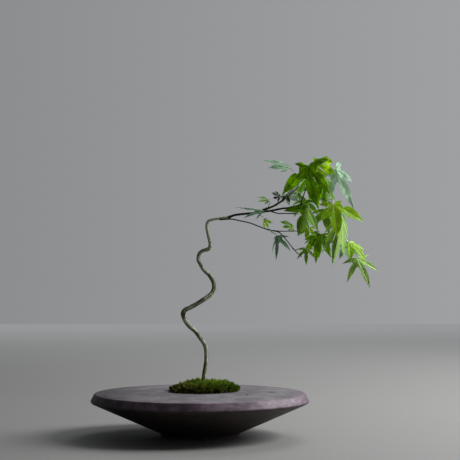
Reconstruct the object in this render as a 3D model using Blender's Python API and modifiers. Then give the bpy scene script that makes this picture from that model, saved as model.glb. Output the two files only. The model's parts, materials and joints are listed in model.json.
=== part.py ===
"""A young maple bonsai in a wide, low saucer pot, as an assembly of separate closed solids.

The origin is the middle of the foot's flat underside. +Z is up, +X is the side that the branches reach
out to, and -Y is the front. Everything is in metres; the plant's routes are drawn in millimetres, with
their heights above the pot's rim, and grown() brings them to the size of the tree.
"""

import math
from dataclasses import dataclass

import bmesh
import bpy
from mathutils import Matrix, Vector, noise
from mathutils.bvhtree import BVHTree

MM = 0.001
GAP = 0.3 * MM  # between pieces that touch

# --- Pot: a hollow saucer, turned in one piece
POT_DIAMETER = 240 * MM
POT_HEIGHT = 46 * MM  # to the top edge of the rim
RIM_BAND = 9 * MM  # height of the leaning band round the rim
RIM_LEAN = 5 * MM  # how far the band's top edge stands inside its lower edge
TOP_RISE = 2.3 * MM  # from the band's top edge up to the planting opening
RIM_ROUNDING = 1.6 * MM
FOOT_DIAMETER = 87 * MM
FOOT_HEIGHT = 2.8 * MM
FOOT_CHAMFER = 0.5 * MM
WALL = 5 * MM
FLOOR = 7 * MM
OPENING_DIAMETER = 68 * MM
LIP_ROUNDING = 1.5 * MM
DRAIN_COUNT = 3
DRAIN_DIAMETER = 10 * MM
DRAIN_CIRCLE = 42 * MM  # diameter of the circle that the drain holes stand on
GROOVE_WIDTH = 8 * MM
GROOVE_DEPTH = 2 * MM
GROOVE_OVERRUN = 3 * MM  # past the foot's edge, for a clean cut

# --- What lies in the pot
MESH_BAR = 1.5 * MM
MESH_APERTURE = 4 * MM
MESH_APERTURES = 3  # along each side of a drain mesh
MESH_THICKNESS = 0.8 * MM
GRAVEL_DEPTH = 7 * MM
SOIL_SHORTFALL = 15 * MM  # how far inside the widest of the hollow the soil ends
MOSS_LENGTH = 77 * MM
MOSS_WIDTH = 73 * MM
MOSS_HEIGHT = 10.5 * MM
MOSS_OFFSET = 4.6 * MM  # towards the branches
MOSS_LUMP = 1.6 * MM
MOSS_LUMP_SPAN = 9 * MM
MOSS_SWELL = 0.06  # how far its edge wanders, against its radius

# --- Plant
TREE_HEIGHT = 192 * MM  # from the pot's rim to the bend at the top of the trunk
DRAWN_HEIGHT = 192 * MM  # the same height as the routes below draw it
TRUNK_DIAMETER = 4.8 * MM
ROOT_COUNT = 4
ROOT_SPREAD = 27 * MM
ROOT_DROP = 13 * MM
ROOT_DIAMETER = 2.8 * MM
ROOT_COURSE = (  # shares of ROOT_SPREAD outwards, of ROOT_DROP, of the bow to the side, of ROOT_DIAMETER
    (0.35, 0.2, 1.0, 0.84),
    (0.7, 0.55, -0.5, 0.66),
    (1.0, 1.0, 0.0, 0.4),
)
ROOT_BOWS = (-0.16, 0.12)  # sideways, in turn, against ROOT_SPREAD
ROOT_LEVELS = (0.006, 0.010)  # where they leave the trunk, in turn, as shares of its length
LEAF_SIZE = 1.0  # blades and stalks, against the lengths drawn below
LEAF_THICKNESS = 0.5 * MM
STALK_WIDTH = 0.9 * MM
STEP = 4.5 * MM  # between points along the trunk
TWIG_STEP = 7 * MM
ROOT_STEP = 4.2 * MM
TURNED_STEPS = 48
TUBE_SIDES = 8
TWIG_SIDES = 6
CHANNEL = 1 / math.cos(math.pi / TUBE_SIDES)  # a faceted channel's corners clear a tube's by this

# x, y, height above the rim in mm, and the share of TRUNK_DIAMETER
TRUNK_ROUTE = (
    (2.2, 0, -8, 1.5),
    (2.4, 0, 0, 1.35),
    (3.0, 0, 12, 0.98),
    (5.7, 2, 30, 0.92),
    (6.5, 4, 41, 0.93),
    (5.1, 5, 51, 0.95),
    (0.7, 5, 58.5, 0.97),
    (-4.8, 3.5, 66, 0.98),
    (-11.3, 1, 72.4, 1.0),
    (-16.6, -3, 79.6, 1.02),
    (-18.7, -6, 86.3, 1.06),
    (-16.5, -8, 90.7, 1.08),
    (-11, -9, 93.4, 1.05),
    (-4.5, -9, 97, 1.02),
    (3.1, -7.5, 101.6, 1.04),
    (9.6, -4, 105.8, 1.06),
    (13.4, -1, 109.6, 1.02),
    (15, 2.5, 115.6, 0.96),
    (13.8, 5, 122, 0.92),
    (9.4, 6.5, 128.7, 0.9),
    (3.9, 6.5, 134, 0.88),
    (0.1, 5, 139.7, 0.84),
    (-2.3, 2.5, 146.2, 0.82),
    (-1.2, 0, 151.7, 0.82),
    (2.3, -1.5, 155, 0.84),
    (7.4, -2.5, 156.6, 0.8),
    (10.3, -3, 159, 0.74),
    (10.6, -3, 163.5, 0.74),
    (9, -2, 171, 0.72),
    (7.4, -1, 179, 0.7),
    (7.2, -0.5, 184, 0.68),
    (8.6, 0, 187.2, 0.68),
    (12, 0, 189, 0.66),
    (18.3, 0, 190.4, 0.62),
    (27, 0, 191.6, 0.58),
    (31, 0, 192, 0.56),
)


@dataclass(frozen=True)
class Twig:
    """A branch or twig: where it leaves its parent, its route in mm and its two end diameters in mm."""

    name: str
    parent: str
    at: float
    route: tuple
    thick: float
    thin: float


TWIGS = (
    Twig("upper_branch", "trunk", 1.0,
         ((38, -0.4, 194.4), (49, -1.5, 195.7), (60, -3, 196.7), (70, -4.5, 198.1), (76, -5.5, 198.7),
          (82, -6, 199.8), (90, -7, 201.3), (96, -7.5, 201.9), (108, -8, 204.5)), 2.6, 2.0),
    Twig("lower_branch", "trunk", 0.96,
         ((34, -3, 189.8), (43.4, -4.5, 188), (54.3, -7, 185.4), (63, -10, 182), (71.6, -13, 178.7),
          (78, -15, 177), (85.6, -17, 175), (89.8, -18.5, 171), (95.2, -19, 164.5), (99.5, -19, 159),
          (103.7, -18, 154.2), (110, -16, 148.5)), 1.4, 0.9),
    Twig("rising_branch", "upper_branch", 0.47,
         ((78.5, -2, 203.4), (85, 1, 206.9), (91, 5, 211.2), (96, 10, 215.2), (104, 18, 222),
          (109, 23, 227.5)), 2.4, 1.4),
    Twig("thin_twig", "upper_branch", 0.6,
         ((81.5, -10, 196.6), (86, -12, 195.6), (92, -14, 195.6), (103, -18, 195.2)), 1.3, 1.1),
    Twig("side_twig", "lower_branch", 0.58,
         ((86, -12, 176.4), (92.3, -10, 176.4), (104.5, -5, 176.7), (113, 1, 176.4), (120, 7, 176)),
         1.1, 0.8),
    Twig("crown_twig", "upper_branch", 1.0,
         ((112, -7, 213), (116, -4, 225), (119, 0, 237)), 1.5, 1.1),
    Twig("outer_twig", "upper_branch", 0.93,
         ((111, -13, 206), (122, -10, 210), (133, -2, 212), (143, 6, 208), (151, 12, 200), (155, 15, 192)),
         1.4, 1.0),
    Twig("hanging_twig", "outer_twig", 1.0,
         ((157, 17, 184), (159, 18, 176)), 0.95, 0.8),
)


@dataclass(frozen=True)
class Leaf:
    """A leaf: its twig, where its blade starts and ends in mm, the way its upper side faces, its shape."""

    twig: str
    at: float
    base: tuple
    tip: tuple
    faces: tuple
    lobes: object = 5  # which pattern of lobes it follows
    bend: float = 35  # degrees that the middle lobe turns along its length
    spread: float = 1.0  # of the angles between the lobes
    breadth: float = 1.0  # of the lobes' widths
    folds: tuple = (10, 10)  # degrees that the blade's two halves turn back along the middle lobe
    arch: float = 0.35  # how far the stalk stands out at the blade, as a share of its span


LEAVES = (
    Leaf("crown_twig", 1.0, (117, -16, 247), (128, -27, 199), (-0.2, -0.95, 0.2), "first", 25, 1.0, 1.08,
         (5, 5), 0.6),
    Leaf("crown_twig", 0.9, (124, 10, 253), (148, 4, 239), (0.2, 0.75, 0.6), 3, 25, 0.8, 1.9, (0, 0)),
    Leaf("crown_twig", 0.8, (135, -9, 236), (137, -17, 199.5), (0.3, -0.95, 0.1), 5, 20, 0.6, 0.9, (30, 30)),
    Leaf("outer_twig", 0.7, (149, 17, 246), (168.8, 6, 201), (0.5, 0.85, 0.35), 5, 30, 1.1, 0.9, (30, 15)),
    Leaf("upper_branch", 0.9, (116, -22.5, 201), (105, -34, 170), (-0.15, -0.91, 0.33), "left",
         18, 1.0, 1.2, (8, 40)),
    Leaf("outer_twig", 0.55, (144, -30, 205), (147, -42, 168), (0.1, -0.9, 0.3), "right", 25, 1.0, 1.2,
         (5, 0)),
    Leaf("outer_twig", 0.9, (154, -12, 194), (142, -25, 138), (0.25, -0.95, 0.1), 5, 20, 0.6, 0.95,
         (62, 40)),
    Leaf("hanging_twig", 1.0, (172, 2, 147), (185, -7, 114), (0.2, -0.85, 0.4), 5, 30, 1.1, 0.72),
    Leaf("hanging_twig", 0.7, (163, 4, 163.8), (181.4, -2, 143), (0.5, -0.75, 0.5), 5, 40, 1.0, 1.15),
    Leaf("hanging_twig", 0.6, (161, 24, 165), (167, 26, 141), (0.2, 0.95, 0.1), 5, 25, 0.8),
    Leaf("side_twig", 1.0, (132, 3, 173.5), (126, -2, 141), (-0.2, -0.9, 0.2), 7, 30, 0.92, 1.0,
         (10, 10), 0.5),
    Leaf("lower_branch", 0.9, (114.6, -24, 157), (114.4, -29, 139), (-0.1, -0.95, 0.2), 5, 30, 1.1, 0.8),
    Leaf("lower_branch", 0.56, (83.4, -21, 171), (82, -27, 144), (-0.2, -0.9, 0.35), 5, 30, 1.1, 0.7,
         (55, 15)),
    Leaf("side_twig", 0.5, (102, -9, 179.5), (86.9, -12, 187), (0.3, -0.7, 0.7), 5, 40, 0.6,
         1.7),
    Leaf("upper_branch", 0.42, (70, -4, 190), (75, -6, 179.5), (-0.6, -0.7, 0.3), 3, 20, 0.8, 1.3, (20, 20)),
    Leaf("upper_branch", 0.5, (68, -11, 199), (39, -15, 202), (-0.1, -0.7, 0.7), 5, 15, 0.7, 0.5, (40, 20)),
    Leaf("rising_branch", 0.12, (76, -1, 209.5), (61, 2, 214), (-0.1, -0.5, 0.85), 5, 30, 0.7),
    Leaf("side_twig", 0.85, (118, -7, 181), (115, -13, 166), (-0.2, -0.9, 0.35), 5, 30, 1.0, 1.2),
    Leaf("rising_branch", 0.85, (108, 22, 219), (122, 15, 203), (0.65, 0.3, 0.6), 5, 20, 0.6, 1.2),
    Leaf("rising_branch", 0.6, (96, 24, 220), (110, 37, 210), (-0.25, 0.75, 0.6), 5, 20, 0.8, 1.3),
    Leaf("rising_branch", 0.33, (87, 1, 214), (78, -2, 219), (-0.1, -0.8, 0.6), 5, 20, 0.9, 1.7),
    Leaf("rising_branch", 0.45, (92, 0, 216), (98, -8, 208), (0.3, -0.8, 0.5), 5, 20, 0.9, 1.7),
    Leaf("rising_branch", 1.0, (99.5, 27, 248), (70, 31, 257), (0.1, -0.45, 0.88), 5, 20, 0.7,
         1.2),
    Leaf("rising_branch", 0.95, (120, 46, 240), (108, 60, 212), (-0.35, 0.8, 0.5), 7, 35),
    Leaf("crown_twig", 0.7, (130, 31, 232), (140, 49, 205), (0.3, 0.8, 0.45), 7, 35),
    Leaf("outer_twig", 0.4, (137, 25, 202), (144, 37, 173), (0.15, 0.9, 0.4), 5, 35),
    Leaf("outer_twig", 0.75, (150, 36, 204), (153, 50, 179), (0.4, 0.85, 0.5), 5, 35, 0.9),
    Leaf("side_twig", 0.9, (126, 21, 170), (133, 34, 148), (0.1, 0.87, 0.45), 5, 30, 0.9),
    Leaf("rising_branch", 0.79, (116, 39, 213), (121, 53, 187), (0.2, 0.8, 0.5), 5, 35, 0.9),
    Leaf("thin_twig", 1.0, (112, -16, 192), (118, -18, 176), (0.3, -0.8, 0.5), 5, 25, 0.8),
)


def remove_everything():
    """Empty the scene of objects and of their collections."""
    for found in list(bpy.data.objects):
        bpy.data.objects.remove(found, do_unlink=True)
    for found in list(bpy.data.collections):
        bpy.data.collections.remove(found)


def new_collection(name):
    """Make a collection in the scene."""
    made = bpy.data.collections.new(name)
    bpy.context.scene.collection.children.link(made)
    return made


def new_material(name, colour, roughness, metallic=0.0):
    """Make a plain Principled material."""
    made = bpy.data.materials.new(name)
    made.use_nodes = True
    shader = made.node_tree.nodes["Principled BSDF"]
    shader.inputs["Base Color"].default_value = (*colour, 1.0)
    shader.inputs["Roughness"].default_value = roughness
    shader.inputs["Metallic"].default_value = metallic
    return made


class Workshop:
    """The collections and materials that every piece is made with."""

    def __init__(self):
        self.parts = new_collection("potted_maple_bonsai")
        self.cutters = new_collection("cutters")
        self.stoneware = new_material("stoneware", (0.16, 0.12, 0.125), 0.75)
        self.plastic = new_material("mesh_plastic", (0.02, 0.02, 0.022), 0.55)
        self.grit = new_material("grit", (0.42, 0.36, 0.27), 0.95)
        self.soil = new_material("soil", (0.09, 0.055, 0.035), 0.95)
        self.moss = new_material("moss", (0.10, 0.19, 0.02), 0.95)
        self.bark = new_material("bark", (0.21, 0.19, 0.12), 0.8)
        self.leaf = new_material("leaf", (0.13, 0.30, 0.03), 0.5)

    def keep(self, piece, material, angle=40):
        """Give a mesh piece its material, its smooth shading and its place among the parts."""
        piece.data.materials.append(material)
        piece.data.shade_smooth()
        piece.data.set_sharp_from_angle(angle=math.radians(angle))
        self.parts.objects.link(piece)
        return piece

    def guide(self, piece):
        """Put a cutter among the cutters, where it shows as wires only."""
        piece.hide_render = True
        piece.display_type = "WIRE"
        self.cutters.objects.link(piece)
        return piece


def cut(piece, cutter):
    """Take a cutter's shape out of a piece."""
    made = piece.modifiers.new(f"cut_{cutter.name}", "BOOLEAN")
    made.operation = "DIFFERENCE"
    made.solver = "EXACT"
    made.object = cutter


def turned(name, profile):
    """Turn a profile of (radius, height) pairs about the Z axis.

    The profile starts and ends on the axis and runs down the outer side.
    """
    mesh = bpy.data.meshes.new(name)
    points = [(radius, 0.0, height) for radius, height in profile]
    mesh.from_pydata(points, [(i, i + 1) for i in range(len(points) - 1)], [])
    made = bpy.data.objects.new(name, mesh)
    screw = made.modifiers.new("turn", "SCREW")
    screw.axis = "Z"
    screw.angle = 2 * math.pi
    screw.steps = TURNED_STEPS
    screw.render_steps = TURNED_STEPS
    screw.use_merge_vertices = True
    screw.merge_threshold = 0.00001
    screw.use_smooth_shade = True
    return made


def rounded_corner(before, corner, after, radius, pieces=3):
    """Replace a profile's corner by points on an arc that meets both of its sides."""
    start = Vector(corner)
    back = (Vector(before) - start).normalized()
    ahead = (Vector(after) - start).normalized()
    half = back.angle(ahead) / 2
    run = radius / math.tan(half)
    centre = start + (back + ahead).normalized() * (radius / math.sin(half))
    first = start + back * run - centre
    last = start + ahead * run - centre
    turn = first.angle_signed(last)
    arc = []
    for i in range(pieces + 1):
        arm = first.copy()
        arm.rotate(Matrix.Rotation(-turn * i / pieces, 2))
        arc.append(tuple(centre + arm))
    return arc


def smooth_route(points, step):
    """Read points about a step apart from a smooth curve through a route's points.

    Each point is (x, y, z, radius) in metres, and the curve is a Catmull-Rom spline.
    """
    knots = [Vector(p) for p in points]
    knots = [knots[0] * 2 - knots[1], *knots, knots[-1] * 2 - knots[-2]]
    smooth = []
    for a, b, c, d in zip(knots, knots[1:], knots[2:], knots[3:]):
        pieces = max(1, round((c.xyz - b.xyz).length / step))
        for i in range(pieces):
            t = i / pieces
            smooth.append(0.5 * (2 * b + (c - a) * t + (2 * a - 5 * b + 4 * c - d) * t * t
                                 + (3 * b - a - 3 * c + d) * t * t * t))
    return [*smooth, knots[-2]]


class Route:
    """A smooth line with a radius at each point, which other pieces can be placed along."""

    def __init__(self, points, step):
        self.points = smooth_route(points, step)
        self.lengths = [0.0]
        for a, b in zip(self.points, self.points[1:]):
            self.lengths.append(self.lengths[-1] + (b.xyz - a.xyz).length)

    def place(self, share):
        """Find the point, the direction and the radius at a share of the route's length."""
        target = share * self.lengths[-1]
        i = 0
        while i < len(self.points) - 2 and self.lengths[i + 1] < target:
            i += 1
        a, b = self.points[i], self.points[i + 1]
        t = (target - self.lengths[i]) / (self.lengths[i + 1] - self.lengths[i])
        return a.xyz.lerp(b.xyz, t), (b.xyz - a.xyz).normalized(), a.w + (b.w - a.w) * t


def tube(name, points, sides=TUBE_SIDES):
    """Make a tapered tube with closed ends from (x, y, z, radius) points."""
    curve = bpy.data.curves.new(name, "CURVE")
    curve.dimensions = "3D"
    curve.bevel_depth = MM
    curve.bevel_resolution = (sides - 4) // 2
    curve.use_fill_caps = True
    curve.render_resolution_u = 0
    spline = curve.splines.new("POLY")
    spline.points.add(len(points) - 1)
    for target, point in zip(spline.points, points):
        target.co = (*point.xyz, 1.0)
        target.radius = point.w / MM
    return bpy.data.objects.new(name, curve)


def tube_mesh(name, points, sides=TUBE_SIDES):
    """Make the same tube as a mesh with its caps joined on, for pieces that are cut or cut others."""
    made = tube(name + "_curve", points, sides)
    bpy.context.scene.collection.objects.link(made)
    evaluated = made.evaluated_get(bpy.context.evaluated_depsgraph_get())
    mesh = bpy.data.meshes.new_from_object(evaluated)
    bpy.data.objects.remove(made)
    mesh.name = name
    work = bmesh.new()
    work.from_mesh(mesh)
    bmesh.ops.remove_doubles(work, verts=work.verts, dist=0.000001)
    bmesh.ops.recalc_face_normals(work, faces=work.faces)
    work.to_mesh(mesh)
    work.free()
    return bpy.data.objects.new(name, mesh)


def widened(points, extra):
    """Widen a tube's points for the channel that the tube lies in."""
    return [Vector((*p.xyz, (p.w + extra) * CHANNEL)) for p in points]


# --- Pot and what it holds ---------------------------------------------------------------------------


class Pot:
    """The pot's profile, and the heights inside it that its contents are made to."""

    def __init__(self):
        self.radius = POT_DIAMETER / 2
        self.foot = FOOT_DIAMETER / 2
        self.opening = OPENING_DIAMETER / 2
        self.rim_top = self.radius - RIM_LEAN
        self.band_bottom = POT_HEIGHT - RIM_BAND
        self.slope = (self.band_bottom - FOOT_HEIGHT) / (self.radius - self.foot)
        self.top_slope = TOP_RISE / (self.rim_top - self.opening)
        self.opening_top = POT_HEIGHT + TOP_RISE
        self.hollow = self.rim_top - WALL

    def wall_height(self, radius, extra=0.0):
        """Height of the inside of the sloping wall at a radius, or of a surface clear of it."""
        upright = (WALL + extra) * math.hypot(1, self.slope)
        return FOOT_HEIGHT + (radius - self.foot) * self.slope + upright

    def wall_radius(self, height, extra=0.0):
        """Radius of the inside of the sloping wall at a height."""
        upright = (WALL + extra) * math.hypot(1, self.slope)
        return self.foot + (height - upright - FOOT_HEIGHT) / self.slope

    def ceiling(self, radius):
        """Height of the underside of the top at a radius."""
        return POT_HEIGHT + (self.rim_top - radius) * self.top_slope - WALL

    def profile(self):
        """Run from the middle of the floor, round the inside and the outside, to the middle of the foot."""
        inside = [(0, FLOOR), (self.wall_radius(FLOOR), FLOOR),
                  (self.hollow, self.wall_height(self.hollow)), (self.hollow, self.ceiling(self.hollow))]
        lip_low = (self.opening, self.ceiling(self.opening))
        lip_high = (self.opening, self.opening_top)
        rim_top = (self.rim_top, POT_HEIGHT)
        rim_low = (self.radius, self.band_bottom)
        foot_top = (self.foot, FOOT_HEIGHT)
        return [
            *inside,
            lip_low,
            *rounded_corner(lip_low, lip_high, rim_top, LIP_ROUNDING),
            *rounded_corner(lip_high, rim_top, rim_low, RIM_ROUNDING),
            *rounded_corner(rim_top, rim_low, foot_top, RIM_ROUNDING),
            foot_top,
            (self.foot - FOOT_CHAMFER, 0),
            (0, 0),
        ]


def drain_angles():
    """The headings of the drain holes, one of them towards the front."""
    return [2 * math.pi * i / DRAIN_COUNT - math.pi / 2 for i in range(DRAIN_COUNT)]


def make_pot(shop, pot):
    """Turn the pot, bore its drain holes and cut the grooves that lead out of them."""
    made = shop.keep(turned("pot", pot.profile()), shop.stoneware, 25)
    reach = pot.foot + GROOVE_OVERRUN
    for i, angle in enumerate(drain_angles(), 1):
        turn = Matrix.Rotation(angle, 4, "Z")
        hole = bmesh.new()
        bmesh.ops.create_cone(hole, cap_ends=True, segments=20, radius1=DRAIN_DIAMETER / 2,
                              radius2=DRAIN_DIAMETER / 2, depth=4 * FLOOR)
        groove = bmesh.new()
        bmesh.ops.create_cube(groove, size=1.0)
        long = reach - DRAIN_CIRCLE / 2
        bmesh.ops.scale(groove, verts=groove.verts, vec=(long, GROOVE_WIDTH, 2 * GROOVE_DEPTH))
        for name, work, out in (("hole", hole, DRAIN_CIRCLE / 2), ("groove", groove, reach - long / 2)):
            mesh = bpy.data.meshes.new(f"drain_{name}_{i}")
            bmesh.ops.translate(work, verts=work.verts, vec=(out, 0, 0))
            work.to_mesh(mesh)
            work.free()
            cutter = shop.guide(bpy.data.objects.new(mesh.name, mesh))
            cutter.matrix_world = turn
            cut(made, cutter)
    return made


def make_drain_meshes(shop):
    """Lay a square of plastic mesh over each drain hole."""
    bars = MESH_APERTURES + 1
    lines = [0.0]
    for i in range(2 * bars - 1):
        lines.append(lines[-1] + (MESH_BAR if i % 2 == 0 else MESH_APERTURE))
    middle = lines[-1] / 2
    for i, angle in enumerate(drain_angles(), 1):
        work = bmesh.new()
        cells = len(lines) - 1
        bmesh.ops.create_grid(work, x_segments=cells, y_segments=cells, size=cells / 2)
        for vert in work.verts:
            column, row = (round(v + cells / 2) for v in vert.co.xy)
            vert.co = (lines[column] - middle, lines[row] - middle, FLOOR + GAP)
        open_cells = []
        for face in work.faces:
            centre = face.calc_center_median()
            spots = [max(k for k in range(cells) if lines[k] - middle < v) for v in centre.xy]
            if spots[0] % 2 and spots[1] % 2:
                open_cells.append(face)
        bmesh.ops.delete(work, geom=open_cells, context="FACES")
        mesh = bpy.data.meshes.new(f"drain_mesh_{i}")
        bmesh.ops.translate(work, verts=work.verts, vec=(DRAIN_CIRCLE / 2, 0, 0))
        work.to_mesh(mesh)
        work.free()
        made = shop.keep(bpy.data.objects.new(mesh.name, mesh), shop.plastic)
        made.matrix_world = Matrix.Rotation(angle, 4, "Z")
        wall = made.modifiers.new("wall", "SOLIDIFY")
        wall.thickness = MESH_THICKNESS
        wall.offset = 1.0


def make_gravel(shop, pot):
    """Lay the drainage layer over the meshes."""
    bottom = FLOOR + MESH_THICKNESS + 2 * GAP
    top = bottom + GRAVEL_DEPTH
    rim = (pot.wall_radius(top, GAP), top)
    shop.keep(turned("gravel", [(0, top), rim, (pot.wall_radius(bottom, GAP), bottom), (0, bottom)]),
              shop.grit)
    return top


def make_soil(shop, pot, bottom, channels):
    """Fill the pot with soil up to the opening, round the foot of the trunk and the roots."""
    neck = pot.opening - GAP
    under = pot.ceiling(pot.opening) - GAP
    floor = bottom + GAP
    reach = pot.hollow - SOIL_SHORTFALL
    profile = [
        (0, pot.opening_top),
        (neck, pot.opening_top - LIP_ROUNDING),
        (neck, under),
        (reach, pot.wall_height(reach, GAP)),
        (pot.wall_radius(floor, GAP), floor),
        (0, floor),
    ]
    made = shop.keep(turned("soil", profile), shop.soil)
    for channel in channels:
        cut(made, channel)


def make_moss(shop, pot, channel):
    """Shape the moss as one low mound with a flat underside, pierced by the trunk."""
    work = bmesh.new()
    bmesh.ops.create_uvsphere(work, u_segments=26, v_segments=14, radius=1.0)
    base = pot.opening_top + GAP
    for vert in work.verts:
        x, y, z = vert.co
        swell = 1 + MOSS_SWELL * noise.noise(Vector((x * 2.1, y * 2.1, 5.0)))
        place = Vector((x * swell * MOSS_LENGTH / 2, y * swell * MOSS_WIDTH / 2, 0))
        lump = noise.noise(place / MOSS_LUMP_SPAN + Vector((3.1, 7.7, 1.3)))
        rise = MOSS_HEIGHT * max(z, 0) ** 0.85 + MOSS_LUMP * lump * max(z, 0)
        vert.co = (place.x + MOSS_OFFSET, place.y, base + rise)
    mesh = bpy.data.meshes.new("moss")
    work.to_mesh(mesh)
    work.free()
    cut(shop.keep(bpy.data.objects.new("moss", mesh), shop.moss, 80), channel)


# --- Wood --------------------------------------------------------------------------------------------


def grown(point, size):
    """Bring a drawn point, in mm with its height above the rim, to its place on a tree of a size."""
    foot = Vector((TRUNK_ROUTE[0][0], TRUNK_ROUTE[0][1], 0)) * MM
    return foot + (Vector(point[:3]) * MM - foot) * size + Vector((0, 0, POT_HEIGHT))


def lay_routes(size):
    """Lay out the trunk and every twig of a tree of a size, each twig starting clear of its parent."""
    trunk = [(*grown(p, size), p[3] * TRUNK_DIAMETER / 2) for p in TRUNK_ROUTE]
    routes = {"trunk": Route(trunk, STEP)}
    for twig in TWIGS:
        start = stand_off(routes[twig.parent], twig.at, grown(twig.route[0], size), twig.thick / 2 * MM)
        count = len(twig.route)
        radii = [(twig.thick + (twig.thin - twig.thick) * i / count) / 2 * MM for i in range(count + 1)]
        points = [(*start, radii[0])]
        points += [(*grown(p, size), r) for p, r in zip(twig.route, radii[1:])]
        routes[twig.name] = Route(points, TWIG_STEP)
    return routes


def stand_off(route, share, towards, own):
    """Find where a piece of a given radius starts, clear of the route that it grows from."""
    point, along, radius = route.place(share)
    heading = (towards - point).normalized()
    lean = heading.dot(along)
    if share >= 1:
        return point + along * (GAP + own * math.sqrt(max(0, 1 - lean * lean)))
    out = (heading - along * lean).normalized()
    return point + out * (radius + GAP + own * abs(lean)) + along * (radius * lean)


def make_roots(shop, trunk):
    """Spread the roots from the foot of the trunk, and make the channels that they lie in."""
    channels = []
    for i in range(ROOT_COUNT):
        heading = 2 * math.pi * (i + 0.3) / ROOT_COUNT
        out = Vector((math.cos(heading), math.sin(heading), 0))
        side = Vector((-out.y, out.x, 0))
        share = ROOT_LEVELS[i % 2]
        foot = trunk.place(share)[0]
        start = stand_off(trunk, share, foot + out, ROOT_DIAMETER / 2)
        bow = ROOT_SPREAD * ROOT_BOWS[i % 2]
        drawn = [(*start, ROOT_DIAMETER / 2), (*(start + out * ROOT_DIAMETER), ROOT_DIAMETER / 2)]
        for reach, drop, bowed, width in ROOT_COURSE:
            spot = start + out * ROOT_SPREAD * reach + side * bow * bowed - Vector((0, 0, ROOT_DROP * drop))
            drawn.append((*spot, ROOT_DIAMETER / 2 * width))
        points = smooth_route(drawn, ROOT_STEP)
        made = tube(f"root_{i + 1}", points)
        made.data.materials.append(shop.bark)
        shop.parts.objects.link(made)
        first = (points[1].xyz - points[0].xyz).normalized()
        last = (points[-1].xyz - points[-2].xyz).normalized()
        longer = [Vector((*(points[0].xyz - first * 3 * GAP), points[0].w)), *points,
                  Vector((*(points[-1].xyz + last * GAP), points[-1].w))]
        channels.append(shop.guide(tube_mesh(f"root_channel_{i + 1}", widened(longer, GAP))))
    return channels


def make_wood(shop, routes):
    """Make the trunk and each branch and twig along its route."""
    for name, route in routes.items():
        made = tube(name, route.points, TUBE_SIDES if name == "trunk" else TWIG_SIDES)
        made.data.materials.append(shop.bark)
        shop.parts.objects.link(made)


def make_trunk_channel(shop, pot, trunk):
    """Make the channel that the trunk leaves in the soil and the moss."""
    top = pot.opening_top + 2.5 * MOSS_HEIGHT
    low = [p for p in trunk.points if p.z < top]
    down = (low[0].xyz - low[1].xyz).normalized()
    longer = [Vector((*(low[0].xyz + down * GAP), low[0].w)), *low]
    return shop.guide(tube_mesh("trunk_channel", widened(longer, GAP)))


# --- Leaves ------------------------------------------------------------------------------------------

LOBES = {  # angle from the middle lobe in degrees, and length against the middle lobe's
    3: ((-95, 0.3), (-46, 0.92), (0, 1.0), (46, 0.92), (95, 0.3)),
    5: ((-88, 0.5), (-43, 0.84), (0, 1.0), (43, 0.84), (88, 0.5)),
    7: ((-112, 0.34), (-76, 0.62), (-38, 0.88), (0, 1.0), (38, 0.88), (76, 0.62), (112, 0.34)),
    "first": ((-122, 0.33), (-60, 0.87), (0, 1.0), (24, 0.8), (100, 0.5)),
    "left": ((-125, 0.3), (-76, 0.8), (0, 1.0), (56, 0.88), (112, 0.32)),
    "right": ((-96, 0.42), (-42, 0.66), (0, 1.0), (58, 0.96), (115, 0.27)),
}
SINUS = 0.32  # how far out the notches between lobes lie, against the lobes' lengths
LOBE_SIDES = ((0.52, 0.145), (0.76, 0.085))  # along a lobe and out to its side, against its length
TROUGH = 0.22  # how far a lobe's sides rise, against their distance from its midrib
LOBE_CLEARANCE = 0.4 * MM  # between a lobe's side and the line halfway to its neighbour
STALK_PIECES = 5
STALK_LEAVING = 0.3  # how far a stalk stands out where it leaves its twig, as a share of its span
JOINT_REACH = 2.5 * MM  # round a stalk's start, where it lies close to its twig
TURN_STEP = math.radians(4)  # between the turns that a leaf tries
TURN_STEPS = 40
OUTER_SHOULDER = 0.1  # how wide an outermost lobe is where it leaves the blade, against its length


class Blade:
    """The frame of a leaf's blade, and the bent surface that its flat outline is laid on."""

    def __init__(self, base, tip, faces, bend, folds):
        reach = tip - base
        self.base = base
        self.bend = bend
        self.folds = folds
        self.length = reach.length * (bend / 2) / math.sin(bend / 2)
        chord = reach.normalized()
        normal = (faces - chord * faces.dot(chord)).normalized()
        self.across = normal.cross(chord)
        turn = Matrix.Rotation(-bend / 2, 3, self.across)
        self.along = turn @ chord
        self.normal = turn @ normal

    def place(self, along, across, rise=0.0):
        """Lay a point of the flat blade on the folded and bent one, along an arc from its base."""
        fold = self.folds[across > 0]
        rise = rise * math.cos(fold) - abs(across) * math.sin(fold)
        across *= math.cos(fold)
        reach = math.hypot(along, across)
        if reach < 1e-9:
            return self.base + self.normal * rise
        turn = self.bend * reach / self.length
        out = (self.along * along + self.across * across) / reach
        arc = out * math.sin(turn) - self.normal * (1 - math.cos(turn))
        upright = self.normal * math.cos(turn) + out * math.sin(turn)
        return self.base + arc * (self.length / self.bend) + upright * rise


def lobe_point(lobe, share, side):
    """A point of the flat blade at a share of a lobe's length, and its distance from the midrib."""
    angle, length = lobe
    along = Vector((math.cos(angle), math.sin(angle)))
    return along * length * share + Vector((-along.y, along.x)) * side * length


def lobe_side(lobe, neighbour, share, side):
    """How wide a lobe is at a share of its length, kept clear of the lobe beside it."""
    if neighbour is None:
        return side
    room = share * math.tan(abs(neighbour[0] - lobe[0]) / 2) - LOBE_CLEARANCE / lobe[1]
    return min(side, max(room, LOBE_CLEARANCE / lobe[1]))


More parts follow.
